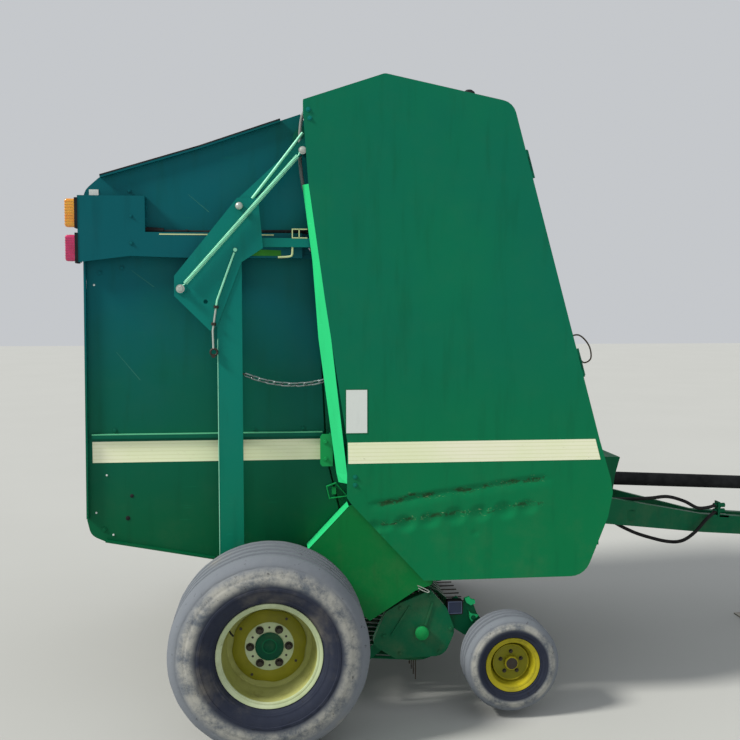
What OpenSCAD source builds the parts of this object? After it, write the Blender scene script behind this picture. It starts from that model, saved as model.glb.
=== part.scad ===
// Towed round baler for bales 1.57 m wide and 1.83 m across.
// X points forward to the hitch, Y to the machine's left, Z up. Lengths are in millimetres.
// Profiles are given as [x, z] or [x, z, corner radius], with x measured from the axle.

/* [Chamber] */
// Width between the chamber walls
chamber_w = 1562; // [1400:1:1700]
// Thickness of the chamber walls
wall_t = 6; // [4:0.5:8]
// Height of the front shields' peak above the floor
peak_z = 2692; // [2640:1:2750]
// Height of the shields' bottom edge above the floor
shield_low = 577; // [560:1:590]

/* [Gate] */
// Height of the tailgate's hinge above the floor
hinge_z = 2440; // [2420:1:2460]
// Radius of the hinge pins
hinge_r = 24; // [20:0.5:28]
// Depth of the gate's side beam
beam_h = 104; // [80:1:120]
// Height of the gate beam's centre
beam_z = 1994; // [1960:1:2010]
// Radius of the gate lift cylinder's barrel
barrel_r = 25; // [20:0.5:26]
// Radius of the gate lift cylinder's rod
rod_r = 14; // [10:0.5:16]

/* [Side frame] */
// Width of the upright post, seen from the side
post_w = 102; // [80:1:120]
// Depth of the upright post's channel
post_d = 36; // [24:1:36]
// Outer radius of the long tension spring
spring_r = 10; // [8:0.5:12]
// Distance between the chamber wall and the side shield's outer face
shield_gap = 138; // [136:1:150]
// Thickness of sheet metal covers
sheet_t = 3; // [2:0.5:4]

/* [Main wheels] */
// Outer diameter of the main tyres
tyre_d = 787; // [760:1:800]
// Width of the main tyres
tyre_w = 343; // [300:1:350]
// Diameter of the main rims' flanges
rim_d = 416; // [400:1:430]
// Gap between the upright posts and the main tyres
tyre_gap = 61.5; // [56:0.5:90]
// Pitch circle diameter of the wheel bolts
bolt_circle = 152.4; // [140:0.1:165]

/* [Gauge wheels] */
// Outer diameter of the gauge tyres
gauge_d = 406; // [390:1:412]
// Width of the gauge tyres
gauge_w = 165; // [150:1:166]
// Height of the gauge wheels' axles above the floor
gauge_z = 233; // [230:1:245]

/* [Pickup] */
// Radius from the reel's shaft to the tips of the tines
tine_reach = 272; // [240:1:280]
// Radius of the pickup's stripper bands
band_r = 168; // [150:1:172]
// Number of tines along each bar
tine_count = 24; // [8:1:26]
// Diameter of a tine's wire
tine_wire = 6; // [4:0.5:8]

/* [Rollers and belts] */
// Radius of the belt rollers
roller_r = 50; // [40:1:54]
// Width of one belt
belt_w = 178; // [150:1:182]
// Number of belts side by side
belt_count = 8; // [4:1:8]
// Thickness of the belts
belt_t = 6; // [4:0.5:7]

/* [Tongue] */
// Distance from the axle to the tongue's front tip
tongue_reach = 3180; // [3120:1:3250]
// Radius of the hitch pin's hole
pin_hole_r = 16.5; // [12:0.1:20]
// Outer radius of the shield tube round the driveline
pto_tube_r = 35; // [30:1:40]
// Radius of the splined bore in the driveline's front yoke
spline_r = 17.5; // [12:0.1:20]
// Radius of the parking jack's sliding leg
jack_r = 26; // [20:1:28]

/* [Hidden] */
$fn = 48;

// Running gaps: between moving pieces, at a seat and round a pin
gap = 6;
seat = 0.3;
fit = 0.3;

// Layers outward from the middle plane
wall_in = chamber_w / 2;
wall_out = wall_in + wall_t;
cylinder_y = wall_out + 4 + barrel_r;
beam_out = wall_out + 50;
post_in = wall_out + 59;
post_out = post_in + post_d;
shield_out = wall_out + shield_gap;
shield_in = shield_out - sheet_t;
shield_lip = shield_out - 40;
panel_out = shield_out - 20;
spring_y = post_out + 12 + spring_r;
rail_out = wall_out + 50;
bracket_in = wall_out + gap;
arm_out = bracket_in + 3;
hinge_clear = 116;
spindle_r = 32;
end_in = wall_in + 40;
end_out = end_in + 8;
gauge_y = wall_in + 174;
stub_r = 16;
reel_shaft_r = 20;

// Ends of the machine, and the axle's distance behind its middle
lamp_rear = -819;
axle_shift = (tongue_reach + lamp_rear) / 2;
axle_z = tyre_d / 2;
hub_y = post_out + tyre_gap + tyre_w / 2;

// Upright post and gate beam
post_x = -154;
post_rear = post_x - post_w / 2;
post_front = post_x + post_w / 2;
beam_low = beam_z - beam_h / 2;
beam_high = beam_z + beam_h / 2;
beam_end = 148;

// Main pins, as [x, z]
hinge = [165, hinge_z];
cylinder_foot = [560, 1300];
cylinder_head = [200, beam_z - 4];
reel = [652, 340];
pickup_pivot = [560, 476];
pivot_r = 30;
// Cross tubes of the pickup, just outside the circle that the tines sweep
tine_sweep = tine_reach + gap;
cross_r = 12;
CROSS_TOP = reel + (tine_sweep + cross_r + seat) * [cos(129), sin(129)];
CROSS_LOW = reel + (tine_sweep + cross_r + seat) * [cos(208), sin(208)];
gauge = [1019, gauge_z];
LAMP_Z = [beam_z + 128, beam_z - 15];
spring_low = [-350, 1812];
spring_high = [148, 2376];
anchor_r = 9;
chain_anchor = [268, 1435];
// Corners of the front cross beam's section, as [x, z]
CROSS = [[1330, 690], [1450, 830]];

// Outline of the front shields: rear crease upward, peak, sloping front, foot
SHIELD_REAR = [[327, 941], [328, 1181], [238, 1763], [170, 2251], [151, 2524]];
SHIELD = [[655, shield_low, 0], [344, 915, 0], [327, 941, 0], [328, 1181, 0], [238, 1763, 0],
    [170, 2251, 0], [151, 2524, 0], [151, peak_z - 113, 0], [486, peak_z, 30], [1024, peak_z - 106, 70],
    [1418, 1164, 0], [1469, 999, 0], [1479, 938, 40], [1459, 833, 0], [1358, shield_low, 90]];
SHIELD_FRONT = [[1024, peak_z - 106], [1418, 1164]];
// Distances down the front edge to the shield's two hinges, and the hinges' knuckles
HINGE_STATIONS = [260, 1130];
knuckle_r = 9;
knuckle_l = 60;
hinge_ahead = 14;
// Inner edge of the shield's bevelled rear border
BEVEL = [[295, 1001], [286, 1040], [212, 1609], [188, 1930], [148, 2239]];

GATE = [[172, 598, 0], [303, 860, 0], [245, 1100, 0], [190, 2380, 0], [205, hinge_z, 0], [143, 2546, 0],
    [-272, 2402, 0], [-680, 2277, 60], [-750, 2215, 60], [-744, 1840, 0], [-760, 839, 0],
    [-745, 775, 50], [-687, 748, 0], [-229, 662, 0]];
FRONT_WALL = [[60, 430, 0], [178, 570, 0], [312, 860, 0], [253, 1100, 0], [198, 2360, 0],
    [230, peak_z - 172, 0], [486, peak_z - 67, 20], [1022, peak_z - 147, 60], [1408, 1161, 0], [1449, 999, 0], [1458, 938, 30],
    [1440, 840, 0], [1350, 650, 60], [700, 650, 0], [520, 596, 0], [424, 596, 0], [424, 466, 0], [330, 360, 0], [60, 345, 0]];
PANEL = [[152, 707, 0], [340, 904, 0], [380, 904, 0], [712, 560, 20], [620, 529, 0], [426, 405, 0],
    [350, 469, 0], [173, 693, 0]];
COVER = [[440, 302, 30], [496, 432, 20], [560, 470, 0], [692, 522, 10], [763, 440, 40], [800, 340, 60],
    [752, 232, 60], [540, 226, 30], [457, 279, 10]];
PLATE = [[-377, 1865, 6], [-119, 2184, 0], [-34, 2185, 8], [-15, 1981, 6], [-103, 1922, 0],
    [-205, 1660, 0], [-234, 1640, 0], [-378, 1783, 6]];

// Belt rollers as [x, z, radius]
front_low = [1235, 800, roller_r + 8];
front_top = [945, peak_z - 227, roller_r + 8];
front_peak = [486, peak_z - 132, roller_r];
hinge_roller = [hinge[0], hinge[1], roller_r];
drive_roller = [570, 800, roller_r + 18];
starter_roller = [300, 592, 84];
FRONT_LOOP = [front_low, front_top, front_peak, hinge_roller, drive_roller];
FRONT_ROLLERS = concat(FRONT_LOOP, [starter_roller]);
GATE_ROLLERS = [[56, hinge_z - 44, roller_r - 6], [-650, 2185, roller_r - 6], [-655, 860, roller_r]];
belt_pitch = (chamber_w - 40) / 8;

// Hitch: height of its middle, depth and height of the drawbar's slot, length and height of the clevis
hitch_z = 545;
slot_l = 150;
slot_h = 42;
clevis_l = 180;
clevis_h = 90;

// Height of the rims' flanges over the bead seat
flange_h = 17.5;

// Geometry helpers
function unit(v) = v / norm(v);
function left_of(v) = [-v[1], v[0]];
function plane(p) = [p[0], p[1]];
// Arc that rounds corner b of the path a, b, c
function corner(a, b, c, r) =
    r <= 0 ? [b] :
    let (u = unit(a - b), v = unit(c - b), half = acos(u * v) / 2, start = b + u * r / tan(half),
        middle = b + unit(u + v) * r / sin(half), from = atan2(start[1] - middle[1], start[0] - middle[0]),
        end = b + v * r / tan(half), to = atan2(end[1] - middle[1], end[0] - middle[0]),
        turn = ((to - from + 540) % 360) - 180, steps = max(2, round(abs(turn) / 15)))
    [for (i = [0:steps]) middle + r * [cos(from + turn * i / steps), sin(from + turn * i / steps)]];
function rounded(path) =
    let (n = len(path))
    [for (i = [0:n - 1]) each corner(plane(path[(i + n - 1) % n]), plane(path[i]), plane(path[(i + 1) % n]),
        path[i][2])];
// Outline moved inward by d, for a path that runs clockwise
function inset(path, d) =
    let (n = len(path))
    [for (i = [0:n - 1])
        let (n1 = left_of(unit(path[i] - path[(i + n - 1) % n])), n2 = left_of(unit(path[(i + 1) % n] - path[i])))
        path[i] - (n1 + n2) / (1 + n1 * n2) * d];
// Angle at which an outer tangent leaves circle a towards circle b, going counterclockwise
function tangent(a, b) =
    let (d = plane(b) - plane(a))
    atan2(d[1], d[0]) - acos((a[2] - b[2]) / norm(d));
// Closed band round circles listed counterclockwise, grown by g
function band(circles, g) =
    let (n = len(circles))
    [for (i = [0:n - 1])
        let (c = circles[i], before = circles[(i + n - 1) % n], after = circles[(i + 1) % n],
            from = tangent(before, c), to = tangent(c, after), sweep = (to - from + 720) % 360,
            steps = max(1, round(sweep / 15)))
        each [for (k = [0:steps])
            plane(c) + (c[2] + g) / cos(sweep / steps / 2)
                * [cos(from + sweep * k / steps), sin(from + sweep * k / steps)]]];

// Everything is drawn with x from the axle, then moved so that the machine is centred
module centred() { translate([-axle_shift, 0, 0]) children(); }
// Draws children for the left side (side = 1) or mirrored for the right (side = -1)
module on_side(side) { mirror([0, side < 0 ? 1 : 0, 0]) children(); }
// Flat plate in the XZ plane between two distances from the middle plane
module plate(path, near, far) {
    translate([0, far, 0]) rotate([90, 0, 0]) linear_extrude(far - near) polygon(path);
}
module disc(centre, r, near, far) {
    translate([centre[0], far, centre[1]]) rotate([90, 0, 0]) cylinder(r = r, h = far - near);
}
// Straight bar of width w between two points of the XZ plane
module bar(p, q, w, near, far) {
    side = left_of(unit(q - p)) * w / 2;
    plate([p + side, q + side, q - side, p - side], near, far);
}
// Box given by its two corners
module block(low, high) { translate(low) cube(high - low); }
// Straight beam between two upright sections given as [x, y_low, y_high, z_low, z_high]
module beam(a, b) {
    function ring(s) = [[s[0], s[1], s[3]], [s[0], s[2], s[3]], [s[0], s[2], s[4]], [s[0], s[1], s[4]]];
    polyhedron(concat(ring(a), ring(b)), [[0, 1, 2, 3], [7, 6, 5, 4], [4, 5, 1, 0], [5, 6, 2, 1],
        [6, 7, 3, 2], [7, 4, 0, 3]]);
}

// Frame and walls
module main_frame() {
    color("#0b6b3a") centred() {
        // Axle tube, spindles and post feet
        block([-55, -hub_y + 190, axle_z - 55], [55, hub_y - 190, axle_z + 55]);
        for (side = [-1, 1]) on_side(side) {
            disc([0, axle_z], spindle_r, hub_y - 190, hub_y + 20);
            plate([[post_rear, axle_z - 40], [post_rear, 480], [post_front, 480], [55, axle_z + 55],
                [55, axle_z - 55], [-55, axle_z - 55]], post_in + post_d / 2 - 8, post_in + post_d / 2 + 8);
            // Side rail from the axle to the front cross beam
            bar([0, axle_z + 15], [500, 650], 70, wall_out, rail_out);
            plate([[480, 615], [480, 685], [1400, 760], [1400, 690]], wall_out, rail_out);
            // Bracket of the lower side panel
            block([420, rail_out, 600], [450, panel_out - sheet_t, 640]);
            // Bearing of the pickup's pivot tube
            difference() {
                union() {
                    disc(pickup_pivot, pivot_r + 18, wall_out + 8, wall_out + 20);
                    plate([pickup_pivot + [-48, 0], [512, 660], [608, 660], pickup_pivot + [48, 0]],
                        wall_out + 8, wall_out + 20);
                }
                disc(pickup_pivot, pivot_r + fit, wall_out, wall_out + 30);
            }
        }
        // Front cross beam that carries the tongue, and a tie between the walls above the pickup
        block([CROSS[0][0], -rail_out, CROSS[0][1]], [CROSS[1][0], rail_out, CROSS[1][1]]);
        block([880, -wall_in, 660], [940, wall_in, 720]);
    }
}

module front_wall(side) {
    color("#0b6b3a") centred() on_side(side) {
        difference() {
            union() {
                plate(rounded(FRONT_WALL), wall_in, wall_out);
                // Border behind the shield's front edge, with the fixed knuckles of the shield's hinges
                along_edge(-12, [0, 1320], 8, wall_out, shield_lip - gap);
                for (s = HINGE_STATIONS) {
                    along_edge(-1, [s - knuckle_l / 2, s + knuckle_l / 2], 2 * hinge_ahead - 2,
                        shield_lip - 17, shield_lip - gap);
                    knuckle(s - knuckle_l / 2, s + knuckle_l / 2);
                }
                // Hinge bracket outside the gate wall
                block([300, wall_out, hinge_z - 80], [380, bracket_in + 12, hinge_z + 30]);
                plate([[300, hinge_z - 80], [300, hinge_z + 30], hinge + [0, 45], hinge - [0, 45]],
                    bracket_in, bracket_in + 12);
                disc(hinge, hinge_r + 30, bracket_in, bracket_in + 12);
                // Foot of the gate lift cylinder, and the safety chain's anchor
                disc(cylinder_foot, 34, wall_out, wall_out + 3);
                disc(cylinder_foot, rod_r, wall_out, cylinder_y + barrel_r + 4);
                block([chain_anchor[0] - 6, wall_out, chain_anchor[1] - 10],
                    [chain_anchor[0] + 6, post_out - 8, chain_anchor[1] + 10]);
            }
            disc(hinge, hinge_clear, wall_in - 1, wall_out + gap / 2);
            // Notch for the front cross beam
            block([CROSS[0][0] - seat, wall_in - 1, CROSS[0][1] - seat],
                [CROSS[1][0] + seat, wall_out + 1, CROSS[1][1] + seat]);
        }
        disc(hinge, hinge_r, wall_in, bracket_in + 16);
    }
}

module lower_panel(side) {
    color("#0b7a40") centred() on_side(side) {
        plate(rounded(PANEL), panel_out - sheet_t, panel_out);
        // Border folded back to the wall along the upper rear edge
        bar([165, 716], [338, 898], sheet_t, bracket_in, panel_out);
    }
}

module post(side) {
    web = 6;
    color("#0c6e3d") centred() on_side(side) {
        difference() {
            plate([[post_rear, 480], [post_rear, 1700], [post_front, 1940], [post_front, 480]], post_in, post_out);
            plate([[post_rear + web, 470], [post_rear + web, 1702], [post_front - web, 1905],
                [post_front - web, 470]], post_in - 1, post_out - web);
        }
        difference() {
            plate(rounded(PLATE), post_out, post_out + 5);
            disc([-251, 1760], 9, post_out - 1, post_out + 6);
        }
        disc(spring_low, 22, post_out + 5, spring_y - spring_r - 1);
        disc(spring_low, anchor_r, post_out + 5, spring_y + spring_r + 2);
        disc([-111, 2150], 14, post_out + 5, post_out + 18);
    }
}

module brace(side) {
    color("#0e7541") centred() on_side(side) {
        bar([-118, 2150], [240, 2483], 44, post_in, post_out - seat);
        plate([[-40, 1986], [-40, 2023], [420, 2023], [420, 1986]], post_in, post_out - 10);
        plate([[-40, 1986], [-40, 2023], [-20, 2023], [-20, 1986]], post_in, post_out - seat);
        // Feet on the chamber wall and on the gate's hinge bracket
        block([380, wall_out + seat, 1970], [430, post_in, 2040]);
        block([200, bracket_in + 12 + seat, 2420], [262, post_in, 2480]);
        disc(spring_high, anchor_r, post_out - 1, spring_y + spring_r + 2);
    }
}

module tension_springs() {
    along = unit(spring_high - spring_low) * (anchor_r + seat);
    color("#3f7a4a") centred() for (side = [-1, 1]) on_side(side)
        bar(spring_low + along, spring_high - along, 2 * spring_r, spring_y - spring_r, spring_y + spring_r);
}

module safety_chains() {
    low = [60, 1409];
    start = [post_front + 2 + seat, 1460];
    end = chain_anchor - [7 + seat, 0];
    color("#6d6a5e") centred() for (side = [-1, 1]) on_side(side) {
        bar(start, low, 12, post_out - 20, post_out - 8);
        bar(low, end, 12, post_out - 20, post_out - 8);
    }
}

module rollers(list) {
    for (r = list) {
        disc(r, r[2], -wall_in + 5, wall_in - 5);
        disc(r, 20, -wall_in, wall_in);
    }
}

module belts(loop) {
    for (i = [0:belt_count - 1]) {
        middle = (i - (belt_count - 1) / 2) * belt_pitch;
        difference() {
            plate(band(loop, belt_t + seat), middle - belt_w / 2, middle + belt_w / 2);
            plate(band(loop, seat), middle - belt_w / 2 - 1, middle + belt_w / 2 + 1);
        }
    }
}

module front_rollers() { color("#8d8f8a") centred() rollers(FRONT_ROLLERS); }
module front_belts() { color("#2b2b2a") centred() belts(FRONT_LOOP); }
module gate_rollers() { color("#8d8f8a") centred() rollers(GATE_ROLLERS); }
module gate_belts() { color("#2b2b2a") centred() belts(GATE_ROLLERS); }

module gate_wall(side) {
    color("#0a5a33") centred() on_side(side) difference() {
        union() {
            plate(rounded(GATE), wall_in, wall_out);
            // Borders folded out along the top and the rear
            bar([-680, 2273], [-272, 2398], 8, wall_out, wall_out + 22);
            bar([-272, 2398], [60, 2514], 8, wall_out, wall_out + 22);
            bar([-746, 2180], [-755, 850], 8, wall_out, wall_out + 22);
            bar([-683, 753], [-229, 667], 8, wall_out, wall_out + 22);
        }
        disc(hinge, hinge_r + fit, wall_in - 1, wall_out + 1);
    }
}

module gate_frame() {
    color("#0a5a33") centred() {
        block([-735, -wall_in, 2030], [-705, wall_in, 2110]);
        block([-745, -wall_in, 1180], [-715, wall_in, 1260]);
        block([-560, -wall_in, 740], [-480, wall_in, 790]);
        block([60, -wall_in, 640], [120, wall_in, 690]);
    }
}

module gate_beam(side) {
    low = beam_z - 73;
    high = beam_z + 199;
    color("#0c6638") centred() on_side(side) {
        difference() {
            plate([[-559, beam_low + 6], [-559, beam_high], [200, beam_high], [200, beam_low],
                [-357, beam_low]], wall_out, beam_out);
            plate([[beam_end, beam_low - 1], [beam_end, beam_high + 1], [201, beam_high + 1], [201, beam_low - 1]],
                bracket_in, beam_out + 1);
        }
        // Arm outside the front wall, on which the lift cylinder's upper pin is seated
        bar([beam_end - 10, cylinder_head[1]], cylinder_head, 60, bracket_in, arm_out);
        disc(cylinder_head, 30, bracket_in, arm_out);
        // Lamp bracket
        plate([[-767, low], [-767, high], [-497, high], [-497, beam_high], [-559, beam_high], [-559, beam_low + 6]],
            beam_out - 6, beam_out);
        plate([[-767, low], [-767, high], [-761, high], [-761, low]], wall_out, beam_out - 6);
        plate([[-497, high], [-497, beam_high], [-503, beam_high], [-503, high]], wall_out, beam_out - 6);
    }
}

module lamp_housings() {
    color("#20211f") centred() for (side = [-1, 1], z = LAMP_Z) on_side(side)
        block([-779, wall_out + 2, z - 62], [-767, beam_out + 2, z + 62]);
}
module lens(z, height) {
    centred() for (side = [-1, 1]) on_side(side)
        block([lamp_rear, wall_out + 6, z - height / 2], [-779, beam_out - 2, z + height / 2]);
}
module amber_lenses() { color("#e8862a") lens(LAMP_Z[0], 116); }
module red_lenses() { color("#c2283c") lens(LAMP_Z[1], 108); }

// Gate lift cylinders, drawn closed
cylinder_line = unit(cylinder_head - cylinder_foot);
closed_length = norm(cylinder_head - cylinder_foot);
module gate_cylinder(side) {
    color("#17452c") centred() on_side(side) translate([cylinder_foot[0], cylinder_y, cylinder_foot[1]])
        rotate([0, atan2(cylinder_line[0], cylinder_line[1]), 0]) difference() {
            union() {
                rotate([90, 0, 0]) cylinder(r = 28, h = 2 * barrel_r - 6, center = true);
                translate([0, 0, 20]) cylinder(r = barrel_r, h = closed_length - 90);
            }
            rotate([90, 0, 0]) cylinder(r = rod_r + fit, h = 4 * barrel_r, center = true);
            translate([0, 0, 40]) cylinder(r = rod_r + fit, h = closed_length);
        }
}
// The rod carries its own pin, which is seated on the gate's arm
module gate_rod(side) {
    pin_in = cylinder_y - arm_out - seat;
    color("#b9bcbd") centred() on_side(side) translate([cylinder_foot[0], cylinder_y, cylinder_foot[1]])
        rotate([0, atan2(cylinder_line[0], cylinder_line[1]), 0]) {
            translate([0, 0, closed_length]) rotate([90, 0, 0]) cylinder(r = 26, h = 36, center = true);
            translate([0, 20, closed_length]) rotate([90, 0, 0]) cylinder(r = rod_r, h = 20 + pin_in);
            translate([0, 0, 60]) cylinder(r = rod_r, h = closed_length - 80);
        }
}

// Side shields
// Where the rear crease of the shield's face lies at height z
function crease(z) = lookup(z, [for (p = SHIELD_REAR) [p[1], p[0]]]);
module shield(side) {
    outline = rounded(SHIELD);
    color("#0b7a40") centred() on_side(side) {
        plate(outline, shield_in, shield_out);
        // Border folded in along the top, the front and the foot
        difference() {
            plate(outline, shield_lip, shield_in);
            plate(inset(outline, sheet_t), shield_lip - 1, shield_in + 1);
            plate(concat([[730, shield_low - 20]], [for (p = SHIELD_REAR) p + [14, 0]],
                [[60, 2524], [60, shield_low - 20]]), shield_lip - 1, shield_in + 1);
        }
        // Bevelled border along the rear
        for (i = [0:len(BEVEL) - 2]) hull() for (p = [BEVEL[i], BEVEL[i + 1]]) {
            block([crease(p[1]), shield_in, p[1] - 0.5], [crease(p[1]) + 1, shield_out, p[1] + 0.5]);
            block([p[0], shield_lip - sheet_t, p[1] - 0.5], [p[0] + 1, shield_lip, p[1] + 0.5]);
        }
        // Hinge leaves on the front edge
        for (s = HINGE_STATIONS, end = [-1, 1]) {
            near = s + end * (knuckle_l / 2 + seat);
            far = s + end * knuckle_l;
            along_edge(3, [min(near, far), max(near, far)], 10, shield_lip - 5, shield_out - 6);
            knuckle(min(near, far), max(near, far));
        }
    }
}
// Bar along the shield's front edge, centred a distance ahead of it, between two stations
module along_edge(ahead, span, w, near, far) {
    way = unit(SHIELD_FRONT[1] - SHIELD_FRONT[0]);
    start = SHIELD_FRONT[0] + ahead * left_of(way);
    bar(start + span[0] * way, start + span[1] * way, w, near, far);
}
module knuckle(from, to) {
    way = unit(SHIELD_FRONT[1] - SHIELD_FRONT[0]);
    at = SHIELD_FRONT[0] + hinge_ahead * left_of(way) + from * way;
    translate([at[0], shield_lip - 5, at[1]]) rotate([0, atan2(way[0], way[1]), 0])
        cylinder(r = knuckle_r, h = to - from);
}

// Pickup
module pickup_frame() {
    color("#0a5a33") centred() {
        // Rear cross tube, and the reel's end plates with the pickup's pivots
        disc(CROSS_LOW, cross_r, -end_in, end_in);
        for (side = [-1, 1]) on_side(side) difference() {
            union() {
                disc(pickup_pivot, pivot_r, wall_out + gap, end_in);
                plate(inset(rounded(COVER), 6), end_in, end_out);
                bar(pickup_pivot, CROSS_TOP, 40, end_in, end_out);
                bar([520, 300], CROSS_LOW, 40, end_in, end_out);
                disc(CROSS_TOP, cross_r + 12, end_in, end_out);
                disc(CROSS_LOW, cross_r + 12, end_in, end_out);
                plate([[740, 430], [812, 480], [1045, gauge_z + 29], [1045, gauge_z - 29], [1000, gauge_z - 29],
                    [740, 380]], end_out, end_out + 12);
                disc(gauge, stub_r, end_out + 12, gauge_y + 16);
                disc(reel, 34, end_out, end_out + 10);
            }
            disc(reel, reel_shaft_r + fit, wall_in, wall_in + 100);
        }
    }
}

// Stripper bands round the reel, parted where the tines pass and joined along their upper rear tube
module pickup_bands() {
    slot_w = 22;
    sheet = 4;
    pitch = 1500 / tine_count;
    half = pitch * (tine_count + 1) / 2 - slot_w;
    path = [concat(CROSS_LOW, cross_r), concat(reel, band_r), concat(CROSS_TOP, cross_r)];
    color("#0a5a33") centred() {
        difference() {
            plate(band(path, 0), -half, half);
            plate(band(path, -sheet), -half - 1, half + 1);
            // Open towards the rear
            plate([CROSS_TOP, CROSS_LOW, CROSS_LOW - [80, 0], CROSS_TOP - [80, 0]], -half - 1, half + 1);
            disc(CROSS_LOW, cross_r + seat, -half - 1, half + 1);
            for (i = [0:tine_count - 1]) {
                y = (i - (tine_count - 1) / 2) * pitch;
                disc(reel, tine_sweep, y - slot_w / 2, y + slot_w / 2);
            }
        }
        disc(CROSS_TOP, cross_r, seat - end_in, end_in - seat);
    }
}

module pickup_reel() {
    bars = 4;
    pitch = 1500 / tine_count;
    color("#4b4c46") centred() {
        disc(reel, 30, 10 - end_in, end_in - 10);
        disc(reel, reel_shaft_r, -end_out - 8, end_out + 8);
        for (k = [0:bars - 1], y = [-700, 0, 700]) translate([reel[0], y, reel[1]]) rotate([0, k * 90, 0])
            block([0, -4, -24], [118, 4, 24]);
        for (k = [0:bars - 1]) {
            a = k * 90;
            at = reel + 120 * [cos(a), sin(a)];
            disc(at, 14, -760, 760);
            for (i = [0:tine_count - 1]) translate([at[0], (i - (tine_count - 1) / 2) * pitch, at[1]])
                rotate([0, 90 - a, 0]) cylinder(r = tine_wire / 2, h = tine_reach - 120);
        }
    }
}

module pickup_cover(side) {
    color("#0c6236") centred() on_side(side) {
        difference() {
            plate(rounded(COVER), end_out + 21, end_out + 51);
            plate(inset(rounded(COVER), sheet_t), end_out + 20, end_out + 51 - sheet_t);
        }
        disc(reel, 28, end_out + 51, end_out + 67);
        // Posts that hold it to the reel's end plate
        for (x = [540, 710]) block([x, end_out + seat, 300], [x + 40, end_out + 51 - sheet_t, 330]);
    }
}

// Wheels, drawn round the Z axis with the outer face up
// Tyre of outer diameter d and width w on a rim of flange diameter f and inner width in
module tyre_body(d, w, f, in) {
    bead = f / 2 - flange_h + seat;
    lip = f / 2 + 1;
    half = in / 2 - seat;
    middle = (d + f) / 4;
    side = [[bead, half], [lip, half], [lip + 6, w * 0.43], [middle - w * 0.08, w * 0.485], [middle + w * 0.04, w / 2],
        [d / 2 - w * 0.16, w * 0.475], [d / 2 - w * 0.05, w * 0.42], [d / 2 - 3, w * 0.36], [d / 2, w * 0.28]];
    rotate_extrude($fn = 96)
        polygon(concat(side, [for (i = [len(side) - 1:-1:0]) [side[i][0], -side[i][1]]]));
}
// Rim of flange diameter f, inner width in, disc at height at and centre hole of radius hole
module rim_body(f, in, at, hole) {
    edge = f / 2;
    bead = edge - flange_h;
    half = in / 2;
    rotate_extrude($fn = 96) polygon([[bead - 6, -half - 5], [edge, -half - 5], [edge, -half], [bead, -half],
        [bead, -half * 0.7], [bead - 14, -half * 0.6], [bead - 14, half * 0.2], [bead, half * 0.5], [bead, half],
        [edge, half], [edge, half + 5], [bead - 6, half + 5], [bead - 6, half * 0.5], [bead - 20, half * 0.2],
        [bead - 20, at + 8], [hole, at + 8], [hole, at - 2], [bead - 20, at - 2], [bead - 20, -half * 0.6],
        [bead - 6, -half * 0.7]]);
}
module hub_body(r, bore) {
    difference() {
        translate([0, 0, -60]) cylinder(r = r, h = 110);
        translate([0, 0, -61]) cylinder(r = bore + fit, h = 90);
    }
}
module at_wheel(x, y, z, side) {
    on_side(side) translate([x, y, z]) rotate([-90, 0, 0]) children();
}

module tyre(side) {
    color("#2a2a2c") centred() at_wheel(0, hub_y, axle_z, side) tyre_body(tyre_d, tyre_w, rim_d, 254);
}
module rim(side) {
    color("#d9c43a") centred() at_wheel(0, hub_y, axle_z, side) {
        rim_body(rim_d, 254, 0, 56);
        hub_body(57, spindle_r);
        for (a = [0:60:300]) rotate(a + 30) translate([bolt_circle / 2, 0, 7]) cylinder(r = 10, h = 14);
    }
}
module gauge_tyre(side) {
    color("#2a2a2c") centred() at_wheel(gauge[0], gauge_y, gauge[1], side)
        tyre_body(gauge_d, gauge_w, 232, 130);
}
module gauge_rim(side) {
    color("#d9c43a") centred() at_wheel(gauge[0], gauge_y, gauge[1], side) {
        rim_body(232, 130, 20, 29);
        hub_body(30, stub_r);
    }
}

// Tongue, hitch, jack and driveline
module tongue() {
    color("#0a5a33") centred() {
        for (side = [-1, 1]) on_side(side) {
            beam([1450, 300, 350, 690, 838], [2290, 40, 80, 545, 642]);
            beam([2290, 40, 80, 545, 642], [tongue_reach - clevis_l, 40, 80, 492, 584]);
        }
        block([1800, -232, 650], [1860, 232, 700]);
        block([2280, -42, 560], [2360, 42, 620]);
    }
}
module hitch_clevis() {
    low = hitch_z - clevis_h / 2;
    high = hitch_z + clevis_h / 2;
    pin_x = tongue_reach - clevis_h / 2;
    color("#0a5a33") centred() difference() {
        union() {
            block([tongue_reach - clevis_l - 120, -40, low], [tongue_reach - clevis_l + 10, 40, high]);
            block([tongue_reach - clevis_l, -clevis_h / 2, low], [pin_x, clevis_h / 2, high]);
            translate([pin_x, 0, low]) cylinder(r = clevis_h / 2, h = clevis_h);
        }
        block([tongue_reach - slot_l, -clevis_h, hitch_z - slot_h / 2],
            [tongue_reach + 10, clevis_h, hitch_z + slot_h / 2]);
        translate([pin_x, 0, low - 10]) cylinder(r = pin_hole_r, h = clevis_h + 20);
    }
}
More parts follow.
